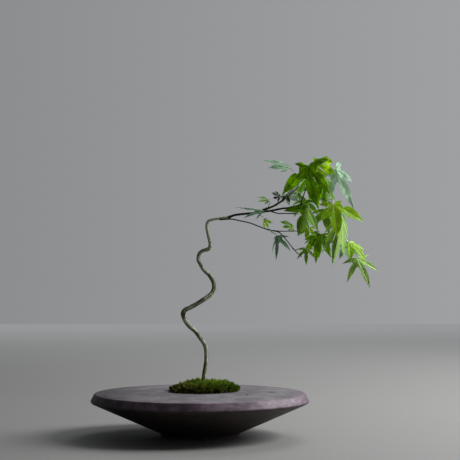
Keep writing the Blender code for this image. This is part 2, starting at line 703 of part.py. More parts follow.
def leaf_surface(leaf, blade, start, outward):
    """Build a leaf's surface, from the start of its stalk to the tips of its lobes, as one open mesh."""
    work = bmesh.new()
    scale = blade.length
    lobes = [(math.radians(a * leaf.spread), b * scale) for a, b in LOBES[leaf.lobes]]
    half = STALK_WIDTH / 2
    middle = work.verts.new(blade.base)
    left = work.verts.new(blade.place(0, half))
    right = work.verts.new(blade.place(0, -half))

    def corner(flat, rise):
        return work.verts.new(blade.place(flat.x, flat.y, rise))

    notches = []
    for near, far in zip(lobes, lobes[1:]):
        angle = (near[0] + far[0]) / 2
        out = SINUS * (near[1] + far[1]) / 2
        width = out * math.sin((far[0] - near[0]) / 2)
        notches.append(corner(Vector((math.cos(angle), math.sin(angle))) * out, width * TROUGH))
    for i, lobe in enumerate(lobes):
        rib = [corner(lobe_point(lobe, share, 0), 0) for share, _ in LOBE_SIDES]
        edges = []
        for sign in (-1, 1):
            neighbour = lobes[i + sign] if 0 <= i + sign < len(lobes) else None
            spots = [(share, lobe_side(lobe, neighbour, share, side * leaf.breadth))
                     for share, side in LOBE_SIDES]
            edges.append([corner(lobe_point(lobe, share, sign * side), side * lobe[1] * TROUGH)
                          for share, side in spots])
        tip = corner(lobe_point(lobe, 1.0, 0), 0)
        first = [notches[i - 1]] if i else []
        last = [notches[i]] if i < len(notches) else []
        root_first = right if lobe[0] <= 0 else left
        root_last = left if lobe[0] >= 0 else right
        low, high = first + edges[0], last + edges[1]
        shoulder = OUTER_SHOULDER * lobe[1] * TROUGH
        if not first:
            low = [corner(lobe_point(lobe, SINUS, -OUTER_SHOULDER), shoulder)] + low
        if not last:
            high = [corner(lobe_point(lobe, SINUS, OUTER_SHOULDER), shoulder)] + high
        if root_first is root_last:
            work.faces.new((root_first, low[0], rib[0]))
            work.faces.new((root_first, rib[0], high[0]))
        else:
            work.faces.new((root_first, low[0], rib[0], middle))
            work.faces.new((middle, rib[0], high[0], root_last))
        work.faces.new((low[0], low[1], rib[0]))
        work.faces.new((rib[0], high[1], high[0]))
        work.faces.new((low[1], low[2], rib[1], rib[0]))
        work.faces.new((rib[0], rib[1], high[2], high[1]))
        work.faces.new((low[2], tip, rib[1]))
        work.faces.new((rib[1], tip, high[2]))
    add_stalk(work, leaf, blade, start, outward, (left, middle, right))
    return work


def add_stalk(work, leaf, blade, start, outward, joint):
    """Add the stalk as a strip that leaves its twig outwards and runs on into the blade."""
    span = (blade.base - start).length
    knots = (start, start + outward * span * STALK_LEAVING,
             blade.base - blade.along * span * leaf.arch, blade.base)
    last = joint
    across = blade.across
    for i in range(STALK_PIECES - 1, -1, -1):
        t = i / STALK_PIECES
        weights = ((1 - t) ** 3, 3 * t * (1 - t) ** 2, 3 * t * t * (1 - t), t ** 3)
        spot = sum((k * w for k, w in zip(knots, weights)), Vector())
        ahead = (last[0].co + last[-1].co) / 2 - spot
        across = (across - ahead * across.dot(ahead) / ahead.length_squared).normalized()
        side = across * STALK_WIDTH / 2
        pair = (work.verts.new(spot + side), work.verts.new(spot - side))
        if len(last) == 3:
            work.faces.new((pair[0], last[1], last[0]))
            work.faces.new((pair[0], pair[1], last[1]))
            work.faces.new((pair[1], last[2], last[1]))
        else:
            work.faces.new((pair[0], pair[1], last[1], last[0]))
        last = pair


def surface_of(piece):
    """Read a piece's finished surface and its corners, for its neighbours to keep clear of."""
    mesh = piece.evaluated_get(bpy.context.evaluated_depsgraph_get()).to_mesh()
    corners = [v.co.copy() for v in mesh.vertices]
    return BVHTree.FromPolygons(corners, [p.vertices[:] for p in mesh.polygons]), corners


def too_close(work, start, placed):
    """Whether a leaf's surface crosses or comes too near to any piece placed before it.

    Near its start the stalk meets its twig, so there only a crossing counts against wood.
    """
    own = BVHTree.FromBMesh(work)
    spots = [v.co for v in work.verts]
    spots += [f.calc_center_median() for f in work.faces]
    for share in (0.25, 0.5, 0.75):
        spots += [e.verts[0].co.lerp(e.verts[1].co, share) for e in work.edges]
    for other, corners, is_wood in placed:
        if own.overlap(other):
            return True
        clearance = GAP + LEAF_THICKNESS * (0.5 if is_wood else 1.0)
        met = [other.find_nearest(spot, clearance)[0] for spot in spots]
        met += [own.find_nearest(spot, clearance)[0] for spot in corners]
        if any(spot and not (is_wood and (spot - start).length < JOINT_REACH) for spot in met):
            return True
    return False


def turned_leaves():
    """The turns that a leaf tries, smallest first, until it clears its neighbours."""
    yield Matrix.Identity(3)
    for step in range(1, TURN_STEPS + 1):
        for sign in (1, -1):
            turns = [Matrix.Rotation(TURN_STEP * step * sign, 3, axis) for axis in ("X", "Y", "Z")]
            yield from turns
            yield turns[0] @ turns[2]
            yield turns[1] @ turns[2]


def hang_leaf(leaf, route, stalk, reach, turn):
    """Build a leaf's surface on its twig, with its stalk and its blade turned about the stalk's foot."""
    point = route.place(leaf.at)[0]
    base = point + turn @ stalk
    folds = [math.radians(fold) for fold in leaf.folds]
    blade = Blade(base, base + turn @ reach, turn @ Vector(leaf.faces), math.radians(leaf.bend), folds)
    start = stand_off(route, leaf.at, base, STALK_WIDTH / 2)
    return leaf_surface(leaf, blade, start, (start - point).normalized()), start


def make_leaves(shop, routes, drawn_routes):
    """Hang each leaf on its twig, turning it aside where a neighbour is in its way."""
    placed = [(*surface_of(bpy.data.objects[name]), True) for name in routes]
    for number, leaf in enumerate(LEAVES, 1):
        foot = drawn_routes[leaf.twig].place(leaf.at)[0]
        stalk = (grown(leaf.base, 1.0) - foot) * LEAF_SIZE
        reach = (grown(leaf.tip, 1.0) - grown(leaf.base, 1.0)) * LEAF_SIZE
        for turn in turned_leaves():
            work, start = hang_leaf(leaf, routes[leaf.twig], stalk, reach, turn)
            if not too_close(work, start, placed):
                break
        placed.append((BVHTree.FromBMesh(work), [v.co.copy() for v in work.verts], False))
        mesh = bpy.data.meshes.new(f"leaf_{number:02d}")
        work.to_mesh(mesh)
        work.free()
        made = shop.keep(bpy.data.objects.new(mesh.name, mesh), shop.leaf, 60)
        thick = made.modifiers.new("thickness", "SOLIDIFY")
        thick.thickness = LEAF_THICKNESS
        thick.offset = 0.0


def main():
    """Make the pot, what lies in it and the plant."""
    remove_everything()
    shop = Workshop()
    pot = Pot()
    make_pot(shop, pot)
    make_drain_meshes(shop)
    gravel_top = make_gravel(shop, pot)
    routes = lay_routes(TREE_HEIGHT / DRAWN_HEIGHT)
    make_wood(shop, routes)
    trunk_channel = make_trunk_channel(shop, pot, routes["trunk"])
    channels = [trunk_channel, *make_roots(shop, routes["trunk"])]
    make_soil(shop, pot, gravel_top, channels)
    make_moss(shop, pot, trunk_channel)
    make_leaves(shop, routes, lay_routes(1.0))


if __name__ == "__main__":
    main()
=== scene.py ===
"""A young maple bonsai in a low saucer pot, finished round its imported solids.

Every size is in metres, with the origin under the middle of the pot's foot and +Z up. The plant's routes
are written in millimetres with their heights above the pot's rim, and above_rim brings them to their
places.
"""

from __future__ import annotations

import json
import logging
import math
import random
from dataclasses import dataclass, field
from enum import Enum
from typing import Callable, Iterator, Sequence, Union

import bpy
from mathutils import Euler, Matrix, Vector, noise

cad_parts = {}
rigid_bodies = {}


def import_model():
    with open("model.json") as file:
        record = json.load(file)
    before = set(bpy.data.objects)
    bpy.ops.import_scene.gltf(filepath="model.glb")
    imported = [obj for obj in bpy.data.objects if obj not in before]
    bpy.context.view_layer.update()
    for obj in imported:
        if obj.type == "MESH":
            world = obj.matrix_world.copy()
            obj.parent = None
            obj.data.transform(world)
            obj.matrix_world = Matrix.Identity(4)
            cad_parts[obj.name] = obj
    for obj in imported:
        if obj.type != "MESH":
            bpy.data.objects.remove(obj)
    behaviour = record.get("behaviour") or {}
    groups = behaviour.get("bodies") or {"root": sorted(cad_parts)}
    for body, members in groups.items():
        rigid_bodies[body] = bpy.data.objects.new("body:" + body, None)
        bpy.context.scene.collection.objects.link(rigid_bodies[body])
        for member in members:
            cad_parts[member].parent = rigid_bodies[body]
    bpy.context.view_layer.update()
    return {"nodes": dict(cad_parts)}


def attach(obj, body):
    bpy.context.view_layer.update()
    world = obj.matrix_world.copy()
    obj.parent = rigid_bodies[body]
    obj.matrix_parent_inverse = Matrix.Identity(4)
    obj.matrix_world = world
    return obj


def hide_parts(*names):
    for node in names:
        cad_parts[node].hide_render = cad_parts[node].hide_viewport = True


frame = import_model()

MM = 0.001
DECIMETRES = 10  # in a metre, the unit of every UV map
RIM_HEIGHT = 46 * MM
GAP = 0.3 * MM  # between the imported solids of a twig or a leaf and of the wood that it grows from
LAST = 0.999  # the share of a route at which a piece at its very end is rooted
LOG = logging.getLogger("bonsai")

Colour = tuple[float, float, float]
Stop = tuple[float, Colour]


# --- Working with objects -----------------------------------------------------------------------------


def clear_selection() -> None:
    """Leave edit mode and deselect every object."""
    if bpy.context.object and bpy.context.object.mode != "OBJECT":
        bpy.ops.object.mode_set(mode="OBJECT")
    bpy.ops.object.select_all(action="DESELECT")


def named(name: str) -> bpy.types.Object:
    """Name the active object and its mesh.

    Args:
        name: the name of both.

    Returns:
        The object.
    """
    piece = bpy.context.object
    piece.name = name
    piece.data.name = name
    return piece


def work_on(piece: bpy.types.Object) -> None:
    """Make a piece the only selected object, and the active one.

    Args:
        piece: the object.
    """
    clear_selection()
    piece.select_set(True)
    bpy.context.view_layer.objects.active = piece


def apply_modifier(piece: bpy.types.Object, kind: str, **settings: object) -> None:
    """Add a modifier to a piece and apply it.

    Args:
        piece: the object to change.
        kind: the modifier's type.
        settings: the modifier's properties, set before it is applied.
    """
    work_on(piece)
    bpy.ops.object.modifier_add(type=kind)
    made = piece.modifiers[-1]
    for key, value in settings.items():
        setattr(made, key, value)
    bpy.ops.object.modifier_apply(modifier=made.name)


def close_up(piece: bpy.types.Object, fill: bool = True, distance: float = 1e-6) -> None:
    """Merge a mesh's doubled points, fill its open ends and turn its faces outwards.

    Args:
        piece: the mesh object.
        fill: whether open ends are filled and the normals recalculated.
        distance: how near two points lie when they are the same point.
    """
    work_on(piece)
    bpy.ops.object.mode_set(mode="EDIT")
    bpy.ops.mesh.select_all(action="SELECT")
    bpy.ops.mesh.remove_doubles(threshold=distance)
    bpy.ops.mesh.dissolve_degenerate(threshold=distance)
    if fill:
        bpy.ops.mesh.fill_holes(sides=0)
        bpy.ops.mesh.normals_make_consistent(inside=False)
    bpy.ops.object.mode_set(mode="OBJECT")


def join(pieces: Sequence[bpy.types.Object], name: str) -> bpy.types.Object:
    """Join objects into the first of them.

    Args:
        pieces: the objects to join, each with its materials already in place.
        name: the joined object's name.

    Returns:
        The joined object.
    """
    clear_selection()
    for piece in pieces:
        piece.select_set(True)
    bpy.context.view_layer.objects.active = pieces[0]
    if len(pieces) > 1:
        bpy.ops.object.join()
    return named(name)


def freeze() -> None:
    """Write the selected objects' places, turns and sizes into their meshes."""
    bpy.ops.object.transform_apply(location=True, rotation=True, scale=True)


def facing(place: Sequence[float], towards: Sequence[float]) -> Euler:
    """Find the rotation that points a lamp or a camera at a point."""
    return (Vector(towards) - Vector(place)).to_track_quat("-Z", "Y").to_euler()


def smooth(piece: bpy.types.Object, degrees: float) -> None:
    """Shade a piece smooth, with edges sharper than an angle kept."""
    work_on(piece)
    bpy.ops.object.shade_smooth_by_angle(angle=math.radians(degrees))


def dress(piece: bpy.types.Object, *materials: bpy.types.Material) -> bpy.types.Object:
    """Give a piece its materials in place of any that it has.

    Args:
        piece: the object.
        materials: its new materials, in the order of their slots.

    Returns:
        The piece.
    """
    piece.data.materials.clear()
    for material in materials:
        piece.data.materials.append(material)
    return piece


def place_piece(piece: bpy.types.Object, slot: str, *nodes: str) -> None:
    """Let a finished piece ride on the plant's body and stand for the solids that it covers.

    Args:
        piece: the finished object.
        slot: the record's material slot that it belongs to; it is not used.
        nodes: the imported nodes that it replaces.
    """
    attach(piece, "root")
    if nodes:
        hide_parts(*nodes)
    LOG.info("%s: %d faces", piece.name, len(piece.data.polygons))


# --- Shader maths -------------------------------------------------------------------------------------

Input = Union["Socket", float, Sequence[float]]


class Socket:
    """A node's output that takes part in arithmetic, where each operator adds one Math node."""

    def __init__(self, recipe: "Recipe", output: bpy.types.NodeSocket) -> None:
        """Wrap an output of a recipe's node tree."""
        self.recipe = recipe
        self.output = output

    def _math(self, operation: str, first: Input, second: Input) -> "Socket":
        """Add the Math node of an operator."""
        return self.recipe.add("ShaderNodeMath", {"operation": operation}, {0: first, 1: second})

    def __add__(self, other: Input) -> "Socket":
        """Add."""
        return self._math("ADD", self, other)

    def __radd__(self, other: Input) -> "Socket":
        """Add, reflected."""
        return self._math("ADD", other, self)

    def __sub__(self, other: Input) -> "Socket":
        """Subtract."""
        return self._math("SUBTRACT", self, other)

    def __rsub__(self, other: Input) -> "Socket":
        """Subtract, reflected."""
        return self._math("SUBTRACT", other, self)

    def __mul__(self, other: Input) -> "Socket":
        """Multiply."""
        return self._math("MULTIPLY", self, other)

    def __rmul__(self, other: Input) -> "Socket":
        """Multiply, reflected."""
        return self._math("MULTIPLY", other, self)

    def __abs__(self) -> "Socket":
        """Take the absolute value."""
        return self._math("ABSOLUTE", self, 0.0)


class Recipe:
    """A material's or a world's node tree, and the steps that finishes share."""

    def __init__(self, name: str, world: bool = False) -> None:
        """Start an empty material or world.

        Args:
            name: its name.
            world: whether it is a world.
        """
        self.owner = bpy.data.worlds.new(name) if world else bpy.data.materials.new(name)
        self.owner.use_nodes = True
        self.tree = self.owner.node_tree
        self.tree.nodes.clear()

    def add(self, kind: str, settings: dict[str, object] | None = None,
            inputs: dict[str | int, Input] | None = None, out: int = 0) -> Socket:
        """Add a node.

        Args:
            kind: the node's type.
            settings: its properties, and "stops" for a ramp's positions and colours.
            inputs: the values or links of its sockets, by name or number.
            out: which of its outputs to return.

        Returns:
            The chosen output.
        """
        node = self.tree.nodes.new(kind)
        for key, value in (settings or {}).items():
            if key == "stops":
                ramp = node.color_ramp
                while len(ramp.elements) < len(value):
                    ramp.elements.new(1.0)
                for element, (position, colour) in zip(ramp.elements, value):
                    element.position = position
                    element.color = (*colour, 1.0)
            else:
                setattr(node, key, value)
        for key, value in (inputs or {}).items():
            socket = node.inputs[key]
            if isinstance(value, Socket):
                self.tree.links.new(value.output, socket)
            elif isinstance(value, (int, float)):
                socket.default_value = value
            else:
                count = len(socket.default_value)
                socket.default_value = (*value, 1.0)[:count]
        return Socket(self, node.outputs[out])

    def place(self) -> Socket:
        """The object's own coordinates."""
        return self.add("ShaderNodeTexCoord", out=3)

    def part_of(self, vector: Socket, axis: int) -> Socket:
        """One component of a vector."""
        return self.add("ShaderNodeSeparateXYZ", inputs={0: vector}, out=axis)

    def stretched(self, vector: Socket, scale: Sequence[float]) -> Socket:
        """Scale a vector along its axes."""
        return self.add("ShaderNodeMapping", inputs={"Vector": vector, "Scale": scale})

    def noise(self, vector: Socket, scale: float, detail: float = 3.0, rough: float = 0.55) -> Socket:
        """Soft noise between 0 and 1 at a scale in features per metre."""
        return self.add("ShaderNodeTexNoise", None,
                        {"Vector": vector, "Scale": scale, "Detail": detail, "Roughness": rough})

    def cells(self, vector: Socket, scale: float, out: int = 0) -> Socket:
        """Distance to the nearest point of a scatter, or with out=1 that point's random colour."""
        return self.add("ShaderNodeTexVoronoi", None, {"Vector": vector, "Scale": scale}, out)

    def band(self, value: Input, low: float, high: float) -> Socket:
        """Rise smoothly from 0 to 1 as a value goes from low to high, whichever of them is larger."""
        return self.add("ShaderNodeMapRange", {"interpolation_type": "SMOOTHSTEP"},
                        {"Value": value, "From Min": low, "From Max": high})

    def ramp(self, value: Input, *stops: Stop) -> Socket:
        """Read a colour from stops."""
        return self.add("ShaderNodeValToRGB", {"stops": stops}, {0: value})

    def mix(self, factor: Input, first: Input, second: Input, blend: str = "MIX") -> Socket:
        """Mix two colours."""
        return self.add("ShaderNodeMix", {"data_type": "RGBA", "blend_type": blend},
                        {0: factor, 6: first, 7: second}, 2)

    def bump(self, height: Input, distance: float, strength: float = 1.0,
             under: Socket | None = None) -> Socket:
        """Turn a height into a bumped normal.

        Args:
            height: the height, from 0 to 1.
            distance: the depth in metres that a height of 1 stands for.
            strength: the bump's strength.
            under: the normal that it is laid over, if any.

        Returns:
            The normal.
        """
        inputs = {"Height": height, "Distance": distance, "Strength": strength}
        if under is not None:
            inputs["Normal"] = under
        return self.add("ShaderNodeBump", None, inputs)

    def surface(self, colour: Input, roughness: Input, normal: Socket | None = None,
                **constants: float) -> Socket:
        """Make the Principled shader.

        Args:
            colour: its base colour.
            roughness: its roughness.
            normal: its normal, if it has a bumped one.
            constants: its other sockets, with underscores for the spaces in their names.

        Returns:
            The shader.
        """
        inputs = {"Base Color": colour, "Roughness": roughness}
        inputs.update({key.replace("_", " "): value for key, value in constants.items()})
        if normal is not None:
            inputs["Normal"] = normal
        return self.add("ShaderNodeBsdfPrincipled", None, inputs)

    def finish(self, shader: Socket,
               output: str = "ShaderNodeOutputMaterial") -> bpy.types.Material | bpy.types.World:
        """Link the shader to the output.

        Args:
            shader: the shader.
            output: the type of the output node.

        Returns:
            The finished material or world.
        """
        end = self.tree.nodes.new(output)
        self.tree.links.new(shader.output, end.inputs["Surface"])
        return self.owner


# --- Finishes -----------------------------------------------------------------------------------------


@dataclass(frozen=True)
class Stoneware:
    """Unglazed purple-brown stoneware: dusty grey on top, purple round the band, almost black beneath.

    Two of its pits have a dark stain round them, and its side towards -X is darkened with painted shade.
    """

    name: str = "stoneware"
    band: Colour = (0.070, 0.046, 0.064)
    blush: Colour = (0.185, 0.130, 0.172)
    top: Colour = (0.095, 0.090, 0.098)
    dust: Colour = (0.165, 0.158, 0.170)
    under: Colour = (0.024, 0.016, 0.013)
    worn: Colour = (0.055, 0.040, 0.034)
    iron: Colour = (0.022, 0.016, 0.018)
    stain: Colour = (0.012, 0.010, 0.010)
    grit: Colour = (0.21, 0.185, 0.20)
    # painted shade, laid over the side towards -X
    painted_shade: Colour = (0.016, 0.012, 0.013)
    clouds: float = 24  # features per metre of each pattern
    streaks: float = 85
    grains: float = 1400
    specks: float = 300
    patchy: tuple[float, float] = (0.42, 0.60)  # the noise levels between which two colours change
    shoulder: float = 45.9 * MM  # height at which the band ends and the dusty top starts
    shoulder_blur: float = 0.5 * MM
    band_foot: float = 37.6 * MM  # height at which the under side ends and the band starts
    band_blur: float = 1.6 * MM
    stains: tuple[tuple[float, float], ...] = ((50.5 * MM, -41 * MM), (77.8 * MM, -5.4 * MM))
    stain_reach: tuple[float, float] = (10 * MM, 7 * MM)  # where a stain ends, and where it is full
    stain_narrow: float = 2.4  # how much shorter a stain is along X than along Y
    shaded_side: tuple[float, float] = (-20 * MM, -110 * MM)  # X at which the painted shade starts, and where it is full

    def make(self) -> bpy.types.Material:
        """Build the material.

        Returns:
            The material.
        """
        recipe = Recipe(self.name)
        place = recipe.place()
        height = recipe.part_of(place, 2)
        cloud = recipe.noise(place, self.clouds, 4, 0.6)
        streak = recipe.noise(recipe.stretched(place, (1, 1, 1.6)), self.streaks, 4, 0.68)
        grain = recipe.noise(place, self.grains, 2, 0.7)
        side = recipe.mix(recipe.band(cloud * 0.4 + streak * 0.6, *self.patchy), self.band, self.blush)
        dust = recipe.mix(recipe.band(streak * 0.5 + cloud * 0.5, *self.patchy), self.top, self.dust)
        above = recipe.band(height, self.shoulder, self.shoulder + self.shoulder_blur)
        upper = recipe.mix(above, side, dust)
        lower = recipe.mix(recipe.band(streak, 0.35, 0.7), self.under, self.worn)
        banded = recipe.band(height + cloud * 0.8 * MM, self.band_foot, self.band_foot + self.band_blur)
        colour = recipe.mix(banded, lower, upper)
        speck = recipe.band(recipe.cells(place, self.specks), 0.24, 0.10)
        chosen = recipe.band(recipe.noise(place, 130, 1), 0.50, 0.56)
        colour = recipe.mix(speck * chosen * 0.85, colour, self.iron)
        for across, back in self.stains:
            reach = recipe.part_of(place, 0) - across
            depth = recipe.part_of(place, 1) - back
            away = abs(reach) * self.stain_narrow + abs(depth) + cloud * 4 * MM
            colour = recipe.mix(recipe.band(away, *self.stain_reach) * 0.85, colour, self.stain)
        colour = recipe.mix(recipe.band(grain, 0.35, 0.75) * 0.25, colour, self.grit)
        # painted shade: the side towards -X is darkened, as on the side away from the light
        shaded_side = recipe.band(recipe.part_of(place, 0) + cloud * 30 * MM, *self.shaded_side)
        colour = recipe.mix(shaded_side * 0.72, colour, self.painted_shade)
        ring = recipe.add("ShaderNodeTexWave",
                          {"wave_type": "RINGS", "rings_direction": "Z", "wave_profile": "SIN"},
                          {"Vector": place, "Scale": 95.0, "Distortion": 1.4, "Detail": 2.0})
        normal = recipe.bump(ring, 0.10 * MM, 0.35)
        normal = recipe.bump(streak * 0.5 + grain * 0.5 - speck * chosen, 0.35 * MM, 0.7, normal)
        side_on = recipe.band(height, self.shoulder + self.shoulder_blur, self.shoulder)
        rough = 0.92 - side_on * 0.48 + grain * 0.16
        return recipe.finish(recipe.surface(colour, rough, normal, Specular_IOR_Level=0.25))


@dataclass(frozen=True)
class Moss:
    """Living moss, brighter towards +X with painted light, and towards the top of the mound where its fresh
    tips meet painted light from above; browned here and there towards the front and -X.
    """

    name: str
    # deep, the darkest moss colour, is also the painted shade that the mix below leans to towards -X
    deep: Colour
    fresh: Colour
    tip: Colour
    dry: Colour = (0.36, 0.27, 0.075)
    patches: float = 260  # features per metre of each pattern
    grains: float = 900
    dry_spots: float = 560
    tips_and_top_light: tuple[float, float] = (54 * MM, 65 * MM)  # heights between which the bright tip colour comes in: the moss's fresh tips, and painted light on the mound's top
    browned: tuple[float, float] = (0.60, 0.66)  # the noise levels between which moss turns brown

    def make(self) -> bpy.types.Material:
        """Build the material.

        Returns:
            The material.
        """
        recipe = Recipe(self.name)
        place = recipe.place()
        across = recipe.part_of(place, 0)
        depth = recipe.part_of(place, 1)
        height = recipe.part_of(place, 2)
        patch = recipe.noise(place, self.patches, 2)
        fine = recipe.noise(place, self.grains, 2, 0.7)
        # painted light: the mix leans to the fresh colour towards +X, the side the light comes from, and to
        # the deep colour as painted shade towards -X
        lit = recipe.band(patch * 0.7 + fine * 0.3 + across * 2.0, 0.44, 0.60)
        colour = recipe.mix(lit, self.deep, self.fresh)
        # painted light: the upper part of the mound turns to the bright tip colour, the fresh tips of the
        # moss lit from above
        colour = recipe.mix(recipe.band(height + fine * 5 * MM, *self.tips_and_top_light) * 0.55, colour, self.tip)
        spots = recipe.noise(place, self.dry_spots, 1)
        browned = recipe.band(spots - depth * 1.8 - across * 2.4, *self.browned)
        colour = recipe.mix(browned * 0.85, colour, self.dry)
        normal = recipe.bump(fine, 0.5 * MM, 0.8)
        return recipe.finish(recipe.surface(colour, 0.75, normal, Specular_IOR_Level=0.12))


@dataclass(frozen=True)
class Bark:
    """Bark on a tube: grey-olive and brown, with long furrows along the wood and pale lenticels."""

    name: str
    dark: Colour
    middle: Colour
    light: Colour
    top: Colour
    turning: tuple[float, float] = (0.19, 0.235)  # heights between which old bark turns to young
    furrows: float = 1.0  # depth of the furrows, against the trunk's
    lenticel: Colour = (0.34, 0.31, 0.24)
    grime: Colour = (0.06, 0.05, 0.035)
    blotches: float = 95  # features per metre of each pattern
    grains: float = 1100

    def make(self) -> bpy.types.Material:
        """Build the material. The UV map runs along the wood and round it, both in decimetres.

        Returns:
            The material.
        """
        recipe = Recipe(self.name)
        place = recipe.place()
        height = recipe.part_of(place, 2)
        skin = recipe.add("ShaderNodeUVMap", {"uv_map": "UVMap"})
        fibre = recipe.noise(recipe.stretched(skin, (5, 32, 1)), 1.6, 2, 0.5)
        blotch = recipe.noise(place, self.blotches, 3, 0.6)
        fine = recipe.noise(place, self.grains, 3, 0.7)
        old = recipe.ramp(fibre * 0.5 + blotch * 0.5, (0.38, self.dark), (0.48, self.middle),
                          (0.60, self.light))
        young = recipe.mix(recipe.band(fibre, 0.3, 0.7), self.top, self.light)
        colour = recipe.mix(recipe.band(height + blotch * 0.02, *self.turning), old, young)
        lenticel = recipe.band(recipe.cells(recipe.stretched(skin, (45, 90, 1)), 1.0), 0.22, 0.10)
        colour = recipe.mix(lenticel * 0.08, colour, self.lenticel)
        colour = recipe.mix(recipe.band(fine, 0.3, 0.7) * 0.15, colour, self.grime, "MULTIPLY")
        normal = recipe.bump(fibre, 0.12 * MM * self.furrows, 0.6)
        normal = recipe.bump(fine * 0.3 + lenticel * 0.7, 0.02 * MM, 0.5, normal)
        return recipe.finish(recipe.surface(colour, 0.72 + fine * 0.2, normal, Specular_IOR_Level=0.2))


@dataclass(frozen=True)
class LeafSkin:
    """One side of a leaf: colour between the veins, colour of the veins, and how light comes through."""

    name: str
    blade: Colour
    shade: Colour
    veins: Colour
    glow: Colour
    through: float
    roughness: float = 0.42
    ridge: float = 1.0  # positive where the veins sink in, negative where they stand out
    clouds: float = 70  # features per metre of each pattern
    grains: float = 600
    # The veins' sizes are in decimetres, as the UV map is.
    midrib: tuple[float, float] = (0.0065, 0.0018)  # where the midrib's soft edge ends, and where it starts
    vein: tuple[float, float] = (0.0036, 0.0010)  # the same of a side vein
    spacing: float = 0.0175  # half the distance between side veins
    fading: tuple[float, float] = (0.085, 0.010)  # how far out the side veins end, and where they are full

    def make(self) -> bpy.types.Material:
        """Build the material. The UV map is each lobe's own length and breadth, in decimetres.

        Returns:
            The material.
        """
        recipe = Recipe(self.name)
        place = recipe.place()
        lobe = recipe.add("ShaderNodeUVMap", {"uv_map": "UVMap"})
        along = recipe.part_of(lobe, 0)
        out = abs(recipe.part_of(lobe, 1))
        midrib = recipe.band(out, *self.midrib)
        slant = along - out * 1.25 + out * out * 1.6
        wave = recipe.add("ShaderNodeMath", {"operation": "PINGPONG"}, {0: slant, 1: self.spacing})
        branch = recipe.band(wave, *self.vein) * recipe.band(out, *self.fading)
        net = recipe.band(recipe.cells(recipe.stretched(lobe, (100, 100, 1)), 1.1, 0), 0.30, 0.62)
        cloud = recipe.noise(place, self.clouds, 3, 0.6)
        fine = recipe.noise(place, self.grains, 2, 0.6)
        clear = recipe.band(cloud * 0.75 + fine * 0.25, 0.38, 0.62)
        colour = recipe.mix(clear, self.shade, self.blade)
        colour = recipe.mix(net * 0.16, colour, self.shade)
        colour = recipe.mix(midrib * 0.65, colour, self.veins)
        colour = recipe.mix(branch * 0.38, colour, self.veins)
        relief = (midrib * 0.6 + branch * 0.4) * -self.ridge + net * -0.12 * self.ridge + fine * 0.12
        normal = recipe.bump(relief, 0.45 * MM, 0.75)
        solid = recipe.surface(colour, self.roughness + cloud * 0.16, normal, Specular_IOR_Level=0.2)
        lit = recipe.add("ShaderNodeBsdfTranslucent", None, {"Color": self.glow})
        thin = 0.62 + 0.62 * clear - midrib * 0.45 - branch * 0.32 - net * 0.18
        blend = recipe.add("ShaderNodeMixShader", None, {0: self.through * thin, 1: solid, 2: lit})
        return recipe.finish(blend)


@dataclass(frozen=True)
class PlainGrain:
    """A plain material with two mixed colours and a grainy relief, for what lies in the pot."""

    name: str
    first: Colour
    second: Colour
    scale: float  # grains per metre
    depth: float  # of the relief
    roughness: float = 0.9

    def make(self) -> bpy.types.Material:
        """Build the material.

        Returns:
            The material.
        """
        recipe = Recipe(self.name)
        place = recipe.place()
        spot = recipe.cells(place, self.scale)
        tint = recipe.part_of(recipe.cells(place, self.scale, 1), 0)
        colour = recipe.mix(recipe.band(tint, 0.2, 0.9), self.first, self.second)
        fine = recipe.noise(place, self.scale * 4, 3, 0.7)
        colour = recipe.mix(recipe.band(fine, 0.3, 0.7) * 0.4, colour, self.first)
        normal = recipe.bump(1.0 - spot + fine * 0.3, self.depth, 0.9)
        return recipe.finish(recipe.surface(colour, self.roughness, normal))


class LeafTone(Enum):
    """The tones of the leaves, each with an upper side, an under side and a stalk."""

    DEEP = "deep"
    FRESH = "fresh"
    SUNLIT = "sunlit"
    PALE = "pale"
    # a pale green leaf whose near-white blade is painted sky sheen
    MINT_SHEEN = "mint_sheen"
    # leaves in shade: this tone is a cool blue-green copy of the leaf colour, painted shade
    SHADED_TEAL = "shaded_teal"
    YOUNG = "young"


TONES: dict[LeafTone, tuple[Colour, Colour, Colour, Colour, float]] = {
    # blade, its darker patches, veins, light that comes through, share of that light
    LeafTone.DEEP: (
        (0.155, 0.320, 0.002), (0.064, 0.170, 0.001), (0.25, 0.42, 0.03), (0.62, 0.96, 0.00), 0.44),
    LeafTone.FRESH: (
        (0.210, 0.420, 0.010), (0.110, 0.270, 0.006), (0.34, 0.54, 0.07), (0.62, 1.00, 0.01), 0.44),
    LeafTone.SUNLIT: (
        (0.390, 0.640, 0.010), (0.230, 0.490, 0.006), (0.60, 0.78, 0.22), (0.78, 1.00, 0.01), 0.55),
    LeafTone.PALE: (
        (0.430, 0.630, 0.190), (0.260, 0.480, 0.080), (0.60, 0.76, 0.40), (0.76, 1.00, 0.28), 0.46),
    # painted sheen: this tone's near-white blade and glow stand for the sky's reflection on pale green leaves
    LeafTone.MINT_SHEEN: (
        (0.500, 0.690, 0.540), (0.390, 0.590, 0.440), (0.60, 0.76, 0.62), (0.84, 1.00, 0.86), 0.50),
    # painted shade: a cool blue-green copy of the leaf colour for leaves in shade
    LeafTone.SHADED_TEAL: (
        (0.250, 0.400, 0.250), (0.170, 0.310, 0.180), (0.36, 0.50, 0.36), (0.60, 0.90, 0.62), 0.45),
    LeafTone.YOUNG: (
        (0.032, 0.062, 0.008), (0.018, 0.034, 0.005), (0.06, 0.08, 0.02), (0.08, 0.16, 0.01), 0.20),
}


